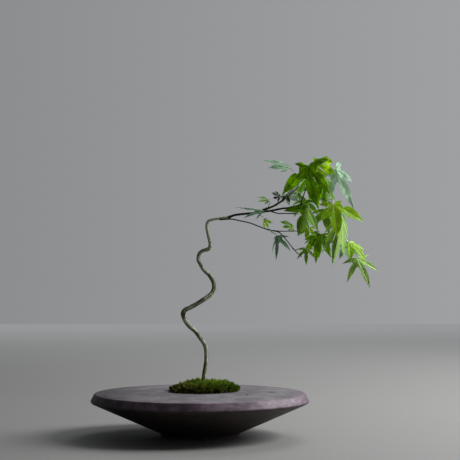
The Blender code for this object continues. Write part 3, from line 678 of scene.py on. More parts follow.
@dataclass
class Palette:
    """Every material, made once."""

    stoneware: bpy.types.Material = field(default_factory=lambda: Stoneware().make())
    # the cushion's near-black colours are painted shade, deep in the moss under its shoots
    cushion: bpy.types.Material = field(default_factory=lambda: Moss(
        "moss_cushion", (0.005, 0.007, 0.002), (0.012, 0.020, 0.003), (0.02, 0.04, 0.004)).make())
    shoots: bpy.types.Material = field(default_factory=lambda: Moss(
        "moss_shoots", (0.010, 0.019, 0.002), (0.105, 0.185, 0.010), (0.34, 0.52, 0.03)).make())
    trunk: bpy.types.Material = field(default_factory=lambda: Bark(
        "trunk_bark", (0.042, 0.031, 0.018), (0.190, 0.185, 0.118), (0.560, 0.610, 0.440),
        (0.480, 0.540, 0.350)).make())
    branch: bpy.types.Material = field(default_factory=lambda: Bark(
        "branch_bark", (0.012, 0.009, 0.005), (0.028, 0.021, 0.010), (0.060, 0.048, 0.022),
        (0.045, 0.040, 0.015), (0.26, 0.29), 0.5).make())
    twig: bpy.types.Material = field(default_factory=lambda: Bark(
        "twig_bark", (0.026, 0.020, 0.007), (0.055, 0.046, 0.015), (0.085, 0.078, 0.026),
        (0.060, 0.066, 0.018), (0.20, 0.28), 0.3).make())
    leaves: dict[LeafTone, tuple[bpy.types.Material, ...]] = field(default_factory=dict)

    def __post_init__(self) -> None:
        """Make the upper side, the under side and the stalk of each tone of leaf."""
        for tone, (blade, shade, veins, glow, through) in TONES.items():
            name = f"leaf_{tone.value}"
            # the under side is paler: partly the leaf's own paler back, partly painted sheen from the sky
            pale = tuple(min(0.9, 0.62 * value + 0.10) for value in blade)
            pale_shade = tuple(min(0.9, 0.62 * value + 0.07) for value in shade)
            stalk = tuple(0.75 * value + 0.02 for value in veins)
            self.leaves[tone] = (
                LeafSkin(f"{name}_upper", blade, shade, veins, glow, through).make(),
                LeafSkin(f"{name}_under", pale, pale_shade, veins, glow, through, 0.6, -1.0).make(),
                PlainGrain(f"{name}_stalk", stalk, veins, 700, 0.05 * MM, 0.5).make(),
            )


# --- Routes -------------------------------------------------------------------------------------------


@dataclass(frozen=True)
class Twig:
    """A branch or twig: where it leaves its parent, its route in mm and its two end diameters in mm."""

    name: str
    parent: str
    at: float
    route: tuple[tuple[float, float, float], ...]
    thick: float
    thin: float


@dataclass(frozen=True)
class Leaf:
    """A leaf: its twig, where its blade starts and ends in mm, the way its upper side faces, its shape."""

    tone: LeafTone
    twig: str
    at: float
    base: tuple[float, float, float]
    tip: tuple[float, float, float]
    faces: tuple[float, float, float]
    lobes: int | str = 5  # which pattern of lobes it follows
    bend: float = 35  # degrees that the middle lobe turns along its length
    spread: float = 1.0  # of the angles between the lobes
    breadth: float = 1.0  # of the lobes' widths
    folds: tuple[float, float] = (10, 10)  # degrees that the two halves turn back along the middle lobe
    arch: float = 0.35  # how far the stalk stands out at the blade, as a share of its span


TRUNK_ROUTE = (  # x, y, height above the rim in mm, and diameter in mm
    (2.2, 0, -8, 7.2),
    (2.4, 0, 0, 6.5),
    (3.0, 0, 12, 4.7),
    (5.7, 2, 30, 4.4),
    (6.5, 4, 41, 4.45),
    (5.1, 5, 51, 4.55),
    (0.7, 5, 58.5, 4.65),
    (-4.8, 3.5, 66, 4.7),
    (-11.3, 1, 72.4, 4.8),
    (-16.6, -3, 79.6, 4.9),
    (-18.7, -6, 86.3, 5.1),
    (-16.5, -8, 90.7, 5.2),
    (-11, -9, 93.4, 5.05),
    (-4.5, -9, 97, 4.9),
    (3.1, -7.5, 101.6, 5.0),
    (9.6, -4, 105.8, 5.1),
    (13.4, -1, 109.6, 4.9),
    (15, 2.5, 115.6, 4.6),
    (13.8, 5, 122, 4.4),
    (9.4, 6.5, 128.7, 4.3),
    (3.9, 6.5, 134, 4.2),
    (0.1, 5, 139.7, 4.05),
    (-2.3, 2.5, 146.2, 3.95),
    (-1.2, 0, 151.7, 3.95),
    (2.3, -1.5, 155, 4.05),
    (7.4, -2.5, 156.6, 3.85),
    (10.3, -3, 159, 3.55),
    (10.6, -3, 163.5, 3.55),
    (9, -2, 171, 3.45),
    (7.4, -1, 179, 3.36),
    (7.2, -0.5, 184, 3.26),
    (8.6, 0, 187.2, 3.26),
    (12, 0, 189, 3.17),
    (18.3, 0, 190.4, 2.98),
    (27, 0, 191.6, 2.78),
    (31, 0, 192, 2.69),
)

TWIGS = (
    Twig("upper_branch", "trunk", 1.0,
         ((38, -0.4, 194.4), (49, -1.5, 195.7), (60, -3, 196.7), (70, -4.5, 198.1), (76, -5.5, 198.7),
          (82, -6, 199.8), (90, -7, 201.3), (96, -7.5, 201.9), (108, -8, 204.5)), 2.6, 2.0),
    Twig("lower_branch", "trunk", 0.96,
         ((34, -3, 189.8), (43.4, -4.5, 188), (54.3, -7, 185.4), (63, -10, 182), (71.6, -13, 178.7),
          (78, -15, 177), (85.6, -17, 175), (89.8, -18.5, 171), (95.2, -19, 164.5), (99.5, -19, 159),
          (103.7, -18, 154.2), (110, -16, 148.5)), 1.4, 0.9),
    Twig("rising_branch", "upper_branch", 0.47,
         ((78.5, -2, 203.4), (85, 1, 206.9), (91, 5, 211.2), (96, 10, 215.2), (104, 18, 222),
          (109, 23, 227.5)), 2.4, 1.4),
    Twig("thin_twig", "upper_branch", 0.6,
         ((81.5, -10, 196.6), (86, -12, 195.6), (92, -14, 195.6), (103, -18, 195.2)), 1.3, 1.1),
    Twig("side_twig", "lower_branch", 0.58,
         ((86, -12, 176.4), (92.3, -10, 176.4), (104.5, -5, 176.7), (113, 1, 176.4), (120, 7, 176)),
         1.1, 0.8),
    Twig("crown_twig", "upper_branch", 1.0, ((112, -7, 213), (116, -4, 225), (119, 0, 237)), 1.5, 1.1),
    Twig("outer_twig", "upper_branch", 0.93,
         ((111, -13, 206), (122, -10, 210), (133, -2, 212), (143, 6, 208), (151, 12, 200), (155, 15, 192)),
         1.4, 1.0),
    Twig("hanging_twig", "outer_twig", 1.0, ((157, 17, 184), (159, 18, 176)), 0.95, 0.8),
)

LEAVES = (
    Leaf(LeafTone.DEEP, "crown_twig", 1.0, (117, -16, 247), (128, -27, 199), (-0.2, -0.95, 0.2), "first",
         25, 1.0, 1.08, (5, 5), 0.6),
    Leaf(LeafTone.SUNLIT, "crown_twig", 0.9, (124, 10, 253), (148, 4, 239), (0.2, 0.75, 0.6), 3, 25, 0.8,
         1.9, (0, 0)),
    Leaf(LeafTone.FRESH, "crown_twig", 0.8, (135, -9, 236), (137, -17, 199.5), (0.3, -0.95, 0.1), 5, 20,
         0.6, 0.9, (30, 30)),
    Leaf(LeafTone.MINT_SHEEN, "outer_twig", 0.7, (149, 17, 246), (168.8, 6, 201), (0.5, 0.85, 0.35), 5, 30, 1.1,
         0.9, (30, 15)),
    Leaf(LeafTone.DEEP, "upper_branch", 0.9, (116, -22.5, 201), (105, -34, 170), (-0.15, -0.91, 0.33),
         "left", 18, 1.0, 1.2, (8, 40)),
    Leaf(LeafTone.SUNLIT, "outer_twig", 0.55, (144, -30, 205), (147, -42, 168), (0.1, -0.9, 0.3), "right",
         25, 1.0, 1.2, (5, 0)),
    Leaf(LeafTone.PALE, "outer_twig", 0.9, (154, -12, 194), (142, -25, 138), (0.25, -0.95, 0.1), 5, 20,
         0.6, 0.95, (62, 40)),
    Leaf(LeafTone.PALE, "hanging_twig", 1.0, (172, 2, 147), (185, -7, 114), (0.2, -0.85, 0.4), 5, 30, 1.1,
         0.72),
    Leaf(LeafTone.SUNLIT, "hanging_twig", 0.7, (163, 4, 163.8), (181.4, -2, 143), (0.5, -0.75, 0.5), 5,
         40, 1.0, 1.15),
    Leaf(LeafTone.SHADED_TEAL, "hanging_twig", 0.6, (161, 24, 165), (167, 26, 141), (0.2, 0.95, 0.1), 5, 25, 0.8),
    Leaf(LeafTone.DEEP, "side_twig", 1.0, (132, 3, 173.5), (126, -2, 141), (-0.2, -0.9, 0.2), 7, 30, 0.92,
         1.0, (10, 10), 0.5),
    Leaf(LeafTone.FRESH, "lower_branch", 0.9, (114.6, -24, 157), (114.4, -29, 139), (-0.1, -0.95, 0.2), 5,
         30, 1.1, 0.8),
    Leaf(LeafTone.SHADED_TEAL, "lower_branch", 0.56, (83.4, -21, 171), (82, -27, 144), (-0.2, -0.9, 0.35), 5, 30,
         1.1, 0.7, (55, 15)),
    Leaf(LeafTone.FRESH, "side_twig", 0.5, (102, -9, 179.5), (86.9, -12, 187), (0.3, -0.7, 0.7), 5, 40,
         0.6, 1.7),
    Leaf(LeafTone.SUNLIT, "upper_branch", 0.42, (70, -4, 190), (75, -6, 179.5), (-0.6, -0.7, 0.3), 3, 20,
         0.8, 1.3, (20, 20)),
    Leaf(LeafTone.SHADED_TEAL, "upper_branch", 0.5, (68, -11, 199), (39, -15, 202), (-0.1, -0.7, 0.7), 5, 15, 0.7,
         0.5, (40, 20)),
    Leaf(LeafTone.PALE, "rising_branch", 0.12, (76, -1, 209.5), (61, 2, 214), (-0.1, -0.5, 0.85), 5, 30,
         0.7),
    Leaf(LeafTone.SUNLIT, "side_twig", 0.85, (118, -7, 181), (115, -13, 166), (-0.2, -0.9, 0.35), 5, 30,
         1.0, 1.2),
    Leaf(LeafTone.FRESH, "rising_branch", 0.85, (108, 22, 219), (122, 15, 203), (0.65, 0.3, 0.6), 5, 20,
         0.6, 1.2),
    Leaf(LeafTone.MINT_SHEEN, "rising_branch", 0.6, (96, 24, 220), (110, 37, 210), (-0.25, 0.75, 0.6), 5, 20,
         0.8, 1.3),
    Leaf(LeafTone.YOUNG, "rising_branch", 0.33, (87, 1, 214), (78, -2, 219), (-0.1, -0.8, 0.6), 5, 20, 0.9,
         1.7),
    Leaf(LeafTone.YOUNG, "rising_branch", 0.45, (92, 0, 216), (98, -8, 208), (0.3, -0.8, 0.5), 5, 20, 0.9,
         1.7),
    Leaf(LeafTone.SHADED_TEAL, "rising_branch", 1.0, (99.5, 27, 248), (70, 31, 257), (0.1, -0.45, 0.88), 5, 20,
         0.7, 1.2),
    Leaf(LeafTone.FRESH, "rising_branch", 0.95, (120, 46, 240), (108, 60, 212), (-0.35, 0.8, 0.5), 7, 35),
    Leaf(LeafTone.FRESH, "crown_twig", 0.7, (130, 31, 232), (140, 49, 205), (0.3, 0.8, 0.45), 7, 35),
    Leaf(LeafTone.DEEP, "outer_twig", 0.4, (137, 25, 202), (144, 37, 173), (0.15, 0.9, 0.4), 5, 35),
    Leaf(LeafTone.FRESH, "outer_twig", 0.75, (150, 36, 204), (153, 50, 179), (0.4, 0.85, 0.5), 5, 35, 0.9),
    Leaf(LeafTone.FRESH, "side_twig", 0.9, (126, 21, 170), (133, 34, 148), (0.1, 0.87, 0.45), 5, 30, 0.9),
    Leaf(LeafTone.DEEP, "rising_branch", 0.79, (116, 39, 213), (121, 53, 187), (0.2, 0.8, 0.5), 5, 35, 0.9),
    Leaf(LeafTone.FRESH, "thin_twig", 1.0, (112, -16, 192), (118, -18, 176), (0.3, -0.8, 0.5), 5, 25, 0.8),
)


def above_rim(point: Sequence[float]) -> Vector:
    """Bring a point in mm, with its height above the rim, to its place in metres."""
    return Vector(point[:3]) * MM + Vector((0, 0, RIM_HEIGHT))


class Route:
    """A smooth line through its points, with a radius along it, that tubes and leaves are placed on."""

    def __init__(self, knots: Sequence[Vector], step: float) -> None:
        """Read points about a step apart from a smooth curve.

        Args:
            knots: points of (x, y, z, radius) in metres.
            step: the distance between the points that are read.
        """
        ends = [knots[0] * 2 - knots[1], *knots, knots[-1] * 2 - knots[-2]]
        self.points: list[Vector] = []
        for a, b, c, d in zip(ends, ends[1:], ends[2:], ends[3:]):
            pieces = max(1, round((c.xyz - b.xyz).length / step))
            for i in range(pieces):
                t = i / pieces
                self.points.append(0.5 * (2 * b + (c - a) * t + (2 * a - 5 * b + 4 * c - d) * t * t
                                          + (3 * b - a - 3 * c + d) * t * t * t))
        self.points.append(ends[-2].copy())
        self.lengths = [0.0]
        for a, b in zip(self.points, self.points[1:]):
            self.lengths.append(self.lengths[-1] + (b.xyz - a.xyz).length)

    def place(self, share: float) -> tuple[Vector, Vector, float]:
        """Find a place along the route.

        Args:
            share: its share of the route's length.

        Returns:
            The point, the direction and the radius there.
        """
        target = share * self.lengths[-1]
        i = 0
        while i < len(self.points) - 2 and self.lengths[i + 1] < target:
            i += 1
        a, b = self.points[i], self.points[i + 1]
        t = (target - self.lengths[i]) / (self.lengths[i + 1] - self.lengths[i])
        return a.xyz.lerp(b.xyz, t), (b.xyz - a.xyz).normalized(), a.w + (b.w - a.w) * t

    def stand_off(self, share: float, towards: Vector, own: float) -> Vector:
        """Find where a piece of a given radius starts, at the skin of this route.

        Args:
            share: where along the route the piece leaves it.
            towards: the next point of the piece.
            own: the piece's radius.

        Returns:
            The point on this route's skin.
        """
        point, along, radius = self.place(share)
        heading = (towards - point).normalized()
        lean = heading.dot(along)
        if share >= 1:
            return point + along * (GAP + own * math.sqrt(max(0.0, 1 - lean * lean)))
        out = (heading - along * lean).normalized()
        return point + out * (radius + GAP + own * abs(lean)) + along * (radius * lean)


Relief = Callable[[float, float, Vector], float]


def roll_tube(name: str, points: Sequence[Vector], sides: int,
              relief: Relief | None = None) -> bpy.types.Object:
    """Roll a grid into a closed tube along points, with its UV map along and round it in decimetres.

    Args:
        name: the tube's name.
        points: points of (x, y, z, radius) in metres.
        sides: how many faces go round it.
        relief: gives how far the skin stands out, from the length, the angle and the point.

    Returns:
        The tube.
    """
    clear_selection()
    rings = len(points) - 1
    bpy.ops.mesh.primitive_grid_add(x_subdivisions=rings, y_subdivisions=sides, size=1.0)
    tube = named(name)
    lengths = [0.0]
    frames = []
    side = Vector((0.31, 0.95, 0.05))
    for i, point in enumerate(points):
        before, after = points[max(0, i - 1)], points[min(rings, i + 1)]
        along = (after.xyz - before.xyz).normalized()
        side = (side - along * side.dot(along)).normalized()
        frames.append((side, along.cross(side)))
        if i:
            lengths.append(lengths[-1] + (point.xyz - before.xyz).length)
    spots = [(round((v.co.x + 0.5) * rings), round((v.co.y + 0.5) * sides)) for v in tube.data.vertices]
    for vert, (ring, turn) in zip(tube.data.vertices, spots):
        angle = 2 * math.pi * (turn % sides) / sides
        first, second = frames[ring]
        out = first * math.cos(angle) + second * math.sin(angle)
        point = points[ring]
        extra = relief(lengths[ring], angle, point.xyz + out * point.w) if relief else 0.0
        vert.co = point.xyz + out * (point.w + extra)
    around = 2 * math.pi * max(p.w for p in points) / sides
    uvs = tube.data.uv_layers[0].data
    for loop in tube.data.loops:
        ring, turn = spots[loop.vertex_index]
        uvs[loop.index].uv = (lengths[ring] * DECIMETRES, turn * around * DECIMETRES)
    close_up(tube)
    return tube


# --- Pot ----------------------------------------------------------------------------------------------


@dataclass
class SaucerPot:
    """The hollow saucer pot, turned in one piece, with its drain holes, grooves and pits."""

    radius: float = 120 * MM
    height: float = RIM_HEIGHT
    rim_band: float = 9 * MM  # height of the band round the rim
    rim_lean: float = 5 * MM  # how far the band leans in
    top_rise: float = 2.3 * MM  # from the rim up to the planting opening
    rounding: float = 2.3 * MM  # of the band's two edges
    lip_rounding: float = 2.0 * MM  # of the opening's edge
    foot: float = 43.5 * MM
    foot_height: float = 2.8 * MM
    foot_chamfer: float = 0.5 * MM
    wall: float = 5 * MM
    floor: float = 7 * MM
    opening: float = 34 * MM
    drains: int = 3
    drain_radius: float = 5 * MM
    drain_circle: float = 21 * MM  # radius of the circle that the drain holes lie on
    groove_width: float = 8 * MM
    groove_depth: float = 2 * MM
    groove_run: float = 3 * MM  # how far a groove runs on past the foot's edge
    steps: int = 176  # faces round the pot
    swell: float = 0.25 * MM  # how far the top bulges between its lip and its rim
    swell_at: tuple[float, ...] = (0.12, 0.3, 0.5, 0.7, 0.88)  # shares of the way from lip to rim
    wobble: tuple[tuple[float, float], ...] = ((11, 0.35 * MM), (42, 0.12 * MM))  # bumps per metre, depth
    pit_rise: float = 0.55  # how far a pit's middle lies above the top, against its radius
    pits: tuple[tuple[float, float, float], ...] = (  # heading in degrees, distance out, radius in mm
        (-39, 65, 1.4), (-4, 78, 1.3), (-58, 81, 0.5), (-40, 103, 0.8), (-72, 96, 0.6), (-110, 90, 0.7),
        (-128, 101, 0.8), (-20, 92, 0.7), (25, 84, 0.8), (70, 99, 0.9), (118, 88, 0.7), (160, 104, 0.8),
        (200, 79, 0.6), (225, 97, 0.9),
    )

    @property
    def rim_top(self) -> float:
        """The radius at which the top meets the band."""
        return self.radius - self.rim_lean

    def corner(self, before: Sequence[float], point: Sequence[float], after: Sequence[float],
               radius: float, pieces: int = 7) -> list[tuple[float, float]]:
        """Round a corner of the profile with an arc.

        Args:
            before: the profile's point before the corner, as radius and height.
            point: the corner.
            after: the point after it.
            radius: the arc's radius.
            pieces: how many straight runs the arc has.

        Returns:
            The arc's points.
        """
        start = Vector(point)
        back = (Vector(before) - start).normalized()
        ahead = (Vector(after) - start).normalized()
        half = back.angle(ahead) / 2
        run = radius / math.tan(half)
        centre = start + (back + ahead).normalized() * (radius / math.sin(half))
        first = start + back * run - centre
        turn = first.angle_signed(start + ahead * run - centre)
        arc = []
        for i in range(pieces + 1):
            arm = first.copy()
            arm.rotate(Matrix.Rotation(-turn * i / pieces, 2))
            arc.append(tuple(centre + arm))
        return arc

    def profile(self) -> list[tuple[float, float]]:
        """Run from the middle of the floor, round the inside and the outside, to the middle of the foot.

        Returns:
            The profile's points, as radius and height.
        """
        rim_top = self.rim_top
        band_bottom = self.height - self.rim_band
        slope = (band_bottom - self.foot_height) / (self.radius - self.foot)
        upright = self.wall * math.hypot(1, slope)
        hollow = rim_top - self.wall
        top_slope = self.top_rise / (rim_top - self.opening)
        ceiling = self.height - self.wall
        inner = self.foot + (self.floor - upright - self.foot_height) / slope
        wall_top = self.foot_height + (hollow - self.foot) * slope + upright
        lip_low = (self.opening, ceiling + (rim_top - self.opening) * top_slope)
        lip_high = (self.opening, self.height + self.top_rise)
        top = (rim_top, self.height)
        low = (self.radius, band_bottom)
        foot_top = (self.foot, self.foot_height)
        swell = [(self.opening + (rim_top - self.opening) * t,
                  lip_high[1] - self.top_rise * t + self.swell * math.sin(math.pi * t))
                 for t in self.swell_at]
        return [
            (0.0, self.floor), (inner, self.floor), (hollow, wall_top),
            (hollow, ceiling + (rim_top - hollow) * top_slope), lip_low,
            *self.corner(lip_low, lip_high, swell[0], self.lip_rounding),
            *swell,
            *self.corner(swell[-1], top, low, self.rounding),
            *self.corner(top, low, foot_top, self.rounding),
            foot_top, (self.foot - self.foot_chamfer, 0.0), (0.0, 0.0),
        ]

    def turn(self) -> bpy.types.Object:
        """Draw the profile by extruding a point, and spin it round the Z axis.

        Returns:
            The turned pot.
        """
        profile = self.profile()
        clear_selection()
        bpy.ops.mesh.primitive_plane_add(size=0.01, location=(profile[0][0], 0, profile[0][1]))
        pot = named("saucer_pot")
        bpy.ops.object.mode_set(mode="EDIT")
        bpy.ops.mesh.merge(type="CENTER")
        for before, after in zip(profile, profile[1:]):
            bpy.ops.mesh.extrude_region_move(
                TRANSFORM_OT_translate={"value": (after[0] - before[0], 0, after[1] - before[1])})
        bpy.ops.mesh.select_all(action="SELECT")
        bpy.ops.mesh.spin(steps=self.steps, angle=2 * math.pi, center=(0, 0, 0), axis=(0, 0, 1))
        bpy.ops.object.mode_set(mode="OBJECT")
        freeze()
        close_up(pot, distance=1e-5)
        return pot

    def cutter(self, name: str) -> bpy.types.Object:
        """Join the drain holes, the grooves and the pits into one cutter.

        Args:
            name: the cutter's name.

        Returns:
            The cutter.
        """
        tools = []
        reach = self.foot + self.groove_run
        for i in range(self.drains):
            angle = 2 * math.pi * i / self.drains - math.pi / 2
            out = Vector((math.cos(angle), math.sin(angle), 0))
            clear_selection()
            bpy.ops.mesh.primitive_cylinder_add(vertices=40, radius=self.drain_radius,
                                                depth=4 * self.floor, location=out * self.drain_circle)
            tools.append(bpy.context.object)
            long = reach - self.drain_circle
            clear_selection()
            bpy.ops.mesh.primitive_cube_add(
                size=1.0, location=out * (reach - long / 2), rotation=(0, 0, angle),
                scale=(long, self.groove_width, 2 * self.groove_depth))
            tools.append(bpy.context.object)
        for heading, out, size in self.pits:
            share = (out * MM - self.opening) / (self.rim_top - self.opening)
            level = self.height + self.top_rise * (1 - share) + size * self.pit_rise * MM
            angle = math.radians(heading)
            clear_selection()
            bpy.ops.mesh.primitive_ico_sphere_add(
                subdivisions=2, radius=size * MM,
                location=(out * MM * math.cos(angle), out * MM * math.sin(angle), level))
            tools.append(bpy.context.object)
        cutter = join(tools, name)
        freeze()
        return cutter

    def build(self, palette: Palette) -> None:
        """Turn the pot, give it the slight unevenness of a thrown one, and cut its holes and pits.

        Args:
            palette: the materials.
        """
        pot = self.turn()
        for vert in pot.data.vertices:
            reach = vert.co.xy.length
            wobble = sum(noise.noise(vert.co * scale) * depth for scale, depth in self.wobble)
            if reach > self.opening and vert.co.z > self.foot_height * 1.5:
                vert.co.xy *= 1 + wobble / reach
                vert.co.z += wobble * 0.4
        cutter = self.cutter("drain_cutter")
        apply_modifier(pot, "BOOLEAN", operation="DIFFERENCE", solver="EXACT", use_self=True, object=cutter)
        bpy.data.objects.remove(cutter)
        smooth(pot, 28)
        dress(pot, palette.stoneware)
        place_piece(pot, "stoneware", "pot")


# --- Moss ---------------------------------------------------------------------------------------------


@dataclass
class MossMound:
    """The low mound of moss round the foot of the trunk: an uneven cushion, thick with leafy shoots."""

    length: float = 75 * MM
    width: float = 72 * MM
    height: float = 10.5 * MM
    offset: float = 4.6 * MM  # of the mound's middle, towards +X
    base: float = 48.6 * MM  # height of the mound's foot
    lump: float = 2.6 * MM  # how far the slow lumps rise and sink
    crinkle: float = 0.5 * MM  # how far the small ones do
    lump_size: float = 9 * MM
    tuft_size: float = 3.2 * MM
    thinning: float = 0.45  # how much lower the mound is at its end towards -X
    sink: float = 2.4 * MM  # how far the cushion lies inside the mound's surface
    rooting: float = 0.5 * MM  # how much deeper the shoots start
    shoots: int = 4200
    shoot: float = 3.9 * MM  # a middling shoot's height, which the sizes below are shares of
    stem: tuple[float, float, float] = (0.07, 0.03, 0.8)  # its radii at the foot and the top, its height
    leaf_radius: float = 0.10
    leaf_shape: tuple[float, float] = (0.55, 1.15)  # how far a leaf is flattened and widened
    scatter: tuple[float, float] = (0.02, 0.1)  # how far a shoot strays in level and in turn
    sway: tuple[float, float, float] = (0.20, 0.20, 0.10)  # how far its direction strays
    sizes: tuple[float, float] = (0.75, 1.2)
    clumping: tuple[float, float] = (0.85, 0.7)  # the height at a noise of 0, and its gain with the noise
    bare: float = -0.16  # the noise level under which no shoot grows
    floor: float = 46.4 * MM  # the height that no shoot goes below
    tiers: tuple[tuple[int, float, float, float], ...] = (
        # leaves, their level on the shoot, their length, and their lean in degrees
        (4, 0.22, 0.52, 62),
        (4, 0.48, 0.55, 44),
        (3, 0.72, 0.50, 20),
    )
    seed: int = 4

    def spot(self, direction: Vector, depth: float = 0.0) -> Vector:
        """A point of the mound's uneven surface.

        Args:
            direction: a unit vector from the middle of the mound's foot.
            depth: how far inside the surface the point lies.

        Returns:
            The point.
        """
        x, y, z = direction
        swell = 1 + 0.06 * noise.noise(Vector((x * 2.1, y * 2.1, 5.0)))
        place = Vector((x * swell * (self.length / 2 - depth), y * swell * (self.width / 2 - depth), 0))
        lump = noise.noise(place / self.lump_size + Vector((3.1, 7.7, 1.3)))
        fine = noise.noise(place / self.tuft_size + Vector((1.7, 0.4, 9.3)))
        thin = min(1.0, max(0.0, -x - 0.25) / 0.75)
        rise = (self.height - depth) * max(z, 0.0) ** 0.85 * (1 - self.thinning * thin)
        rise += (self.lump * lump + self.crinkle * fine) * min(1.0, 2 * max(z, 0.0))
        return Vector((place.x + self.offset, place.y, self.base + max(rise, 0.0)))

    def make_cushion(self) -> bpy.types.Object:
        """Shape the cushion from a sphere whose lower half is cut away.

        Returns:
            The cushion.
        """
        clear_selection()
        bpy.ops.mesh.primitive_uv_sphere_add(segments=96, ring_count=56, radius=1.0)
        cushion = named("moss_cushion")
        bpy.ops.object.mode_set(mode="EDIT")
        bpy.ops.mesh.select_all(action="SELECT")
        bpy.ops.mesh.bisect(plane_co=(0, 0, 0), plane_no=(0, 0, 1), use_fill=True, clear_inner=True)
        bpy.ops.object.mode_set(mode="OBJECT")
        for vert in cushion.data.vertices:
            vert.co = self.spot(vert.co.normalized(), self.sink)
        close_up(cushion)
        smooth(cushion, 60)
        return cushion

    def make_shoot(self) -> tuple[list[Vector], list[tuple[int, ...]]]:
        """Shape one shoot, a slim stem with three tiers of pointed leaves.

        Returns:
            Its corners, and its faces as numbers of corners.
        """
        clear_selection()
        below, above, height = self.stem
        bpy.ops.mesh.primitive_cone_add(vertices=3, radius1=below, radius2=above, depth=height,
                                        location=(0, 0, height / 2))
        parts = [bpy.context.object]
        for tier, (count, level, size, lean) in enumerate(self.tiers):
            for i in range(count):
                turn = 2 * math.pi * (i + 0.5 * tier) / count
                clear_selection()
                bpy.ops.mesh.primitive_cone_add(vertices=3, radius1=self.leaf_radius, radius2=0.0,
                                                depth=1.0, location=(0, 0, 0.5))
                leaf = bpy.context.object
                shape = Matrix.Translation((0, 0, level)) @ Matrix.Rotation(turn, 4, "Z")
                shape = shape @ Matrix.Rotation(math.radians(lean), 4, "Y")
                leaf.matrix_basis = shape @ Matrix.Diagonal((*self.leaf_shape, size, 1.0)) @ leaf.matrix_basis
                parts.append(leaf)
        shoot = join(parts, "moss_shoot")
        freeze()
        corners = [v.co.copy() for v in shoot.data.vertices]
        faces = [tuple(f.vertices) for f in shoot.data.polygons]
        bpy.data.objects.remove(shoot)
        return corners, faces

    def make_shoots(self, trunk: Route) -> bpy.types.Object:
        """Set copies of the shoot all over the cushion, leaning with its surface.

        Args:
            trunk: the trunk's route, which the shoots leave room for.

        Returns:
            The shoots as one object.
        """
        corners, faces = self.make_shoot()
        rng = random.Random(self.seed)
        points: list[Vector] = []
        polygons: list[tuple[int, ...]] = []
        golden = math.pi * (3 - math.sqrt(5))
        stem = [p for p in trunk.points if p.z < self.base + 3 * self.height]
        for i in range(self.shoots):
            level = 1 - (i + 0.5) / self.shoots
            level = max(0.02, level ** 1.15 + rng.uniform(-self.scatter[0], self.scatter[0]))
            turn = i * golden + rng.uniform(-self.scatter[1], self.scatter[1])
            flat = math.sqrt(max(0.0, 1 - level * level))
            direction = Vector((flat * math.cos(turn), flat * math.sin(turn), level))
            spot = self.spot(direction, self.sink + self.rooting)
            if any((spot - p.xyz).length < p.w + 0.5 * MM for p in stem):
                continue
            clump = noise.noise(spot / self.tuft_size)
            if clump < self.bare:
                continue
            out = Vector((direction.x, direction.y, 0.35 + 1.5 * level))
            out += Vector([rng.gauss(0, spread) for spread in self.sway])
            tall = self.shoot * rng.uniform(*self.sizes) * (self.clumping[0] + self.clumping[1] * clump)
            shape = Matrix.Translation(spot) @ out.to_track_quat("Z", "Y").to_matrix().to_4x4()
            shape = shape @ Matrix.Rotation(rng.uniform(0, 2 * math.pi), 4, "Z") @ Matrix.Scale(tall, 4)
            first = len(points)
            points += [shape @ corner for corner in corners]
            polygons += [tuple(first + k for k in face) for face in faces]
        for point in points:
            point.z = max(point.z, self.floor)
        mesh = bpy.data.meshes.new("moss_shoots")
        mesh.from_pydata(points, [], polygons)
        made = bpy.data.objects.new("moss_shoots", mesh)
        bpy.context.scene.collection.objects.link(made)
        return made

    def build(self, palette: Palette, trunk: Route) -> None:
        """Make the cushion and its shoots.

        Args:
            palette: the materials.
            trunk: the trunk's route.
        """
        cushion = dress(self.make_cushion(), palette.cushion)
        place_piece(cushion, "moss", "moss")
        shoots = dress(self.make_shoots(trunk), palette.shoots)
        place_piece(shoots, "moss", "moss")


# --- Wood ---------------------------------------------------------------------------------------------


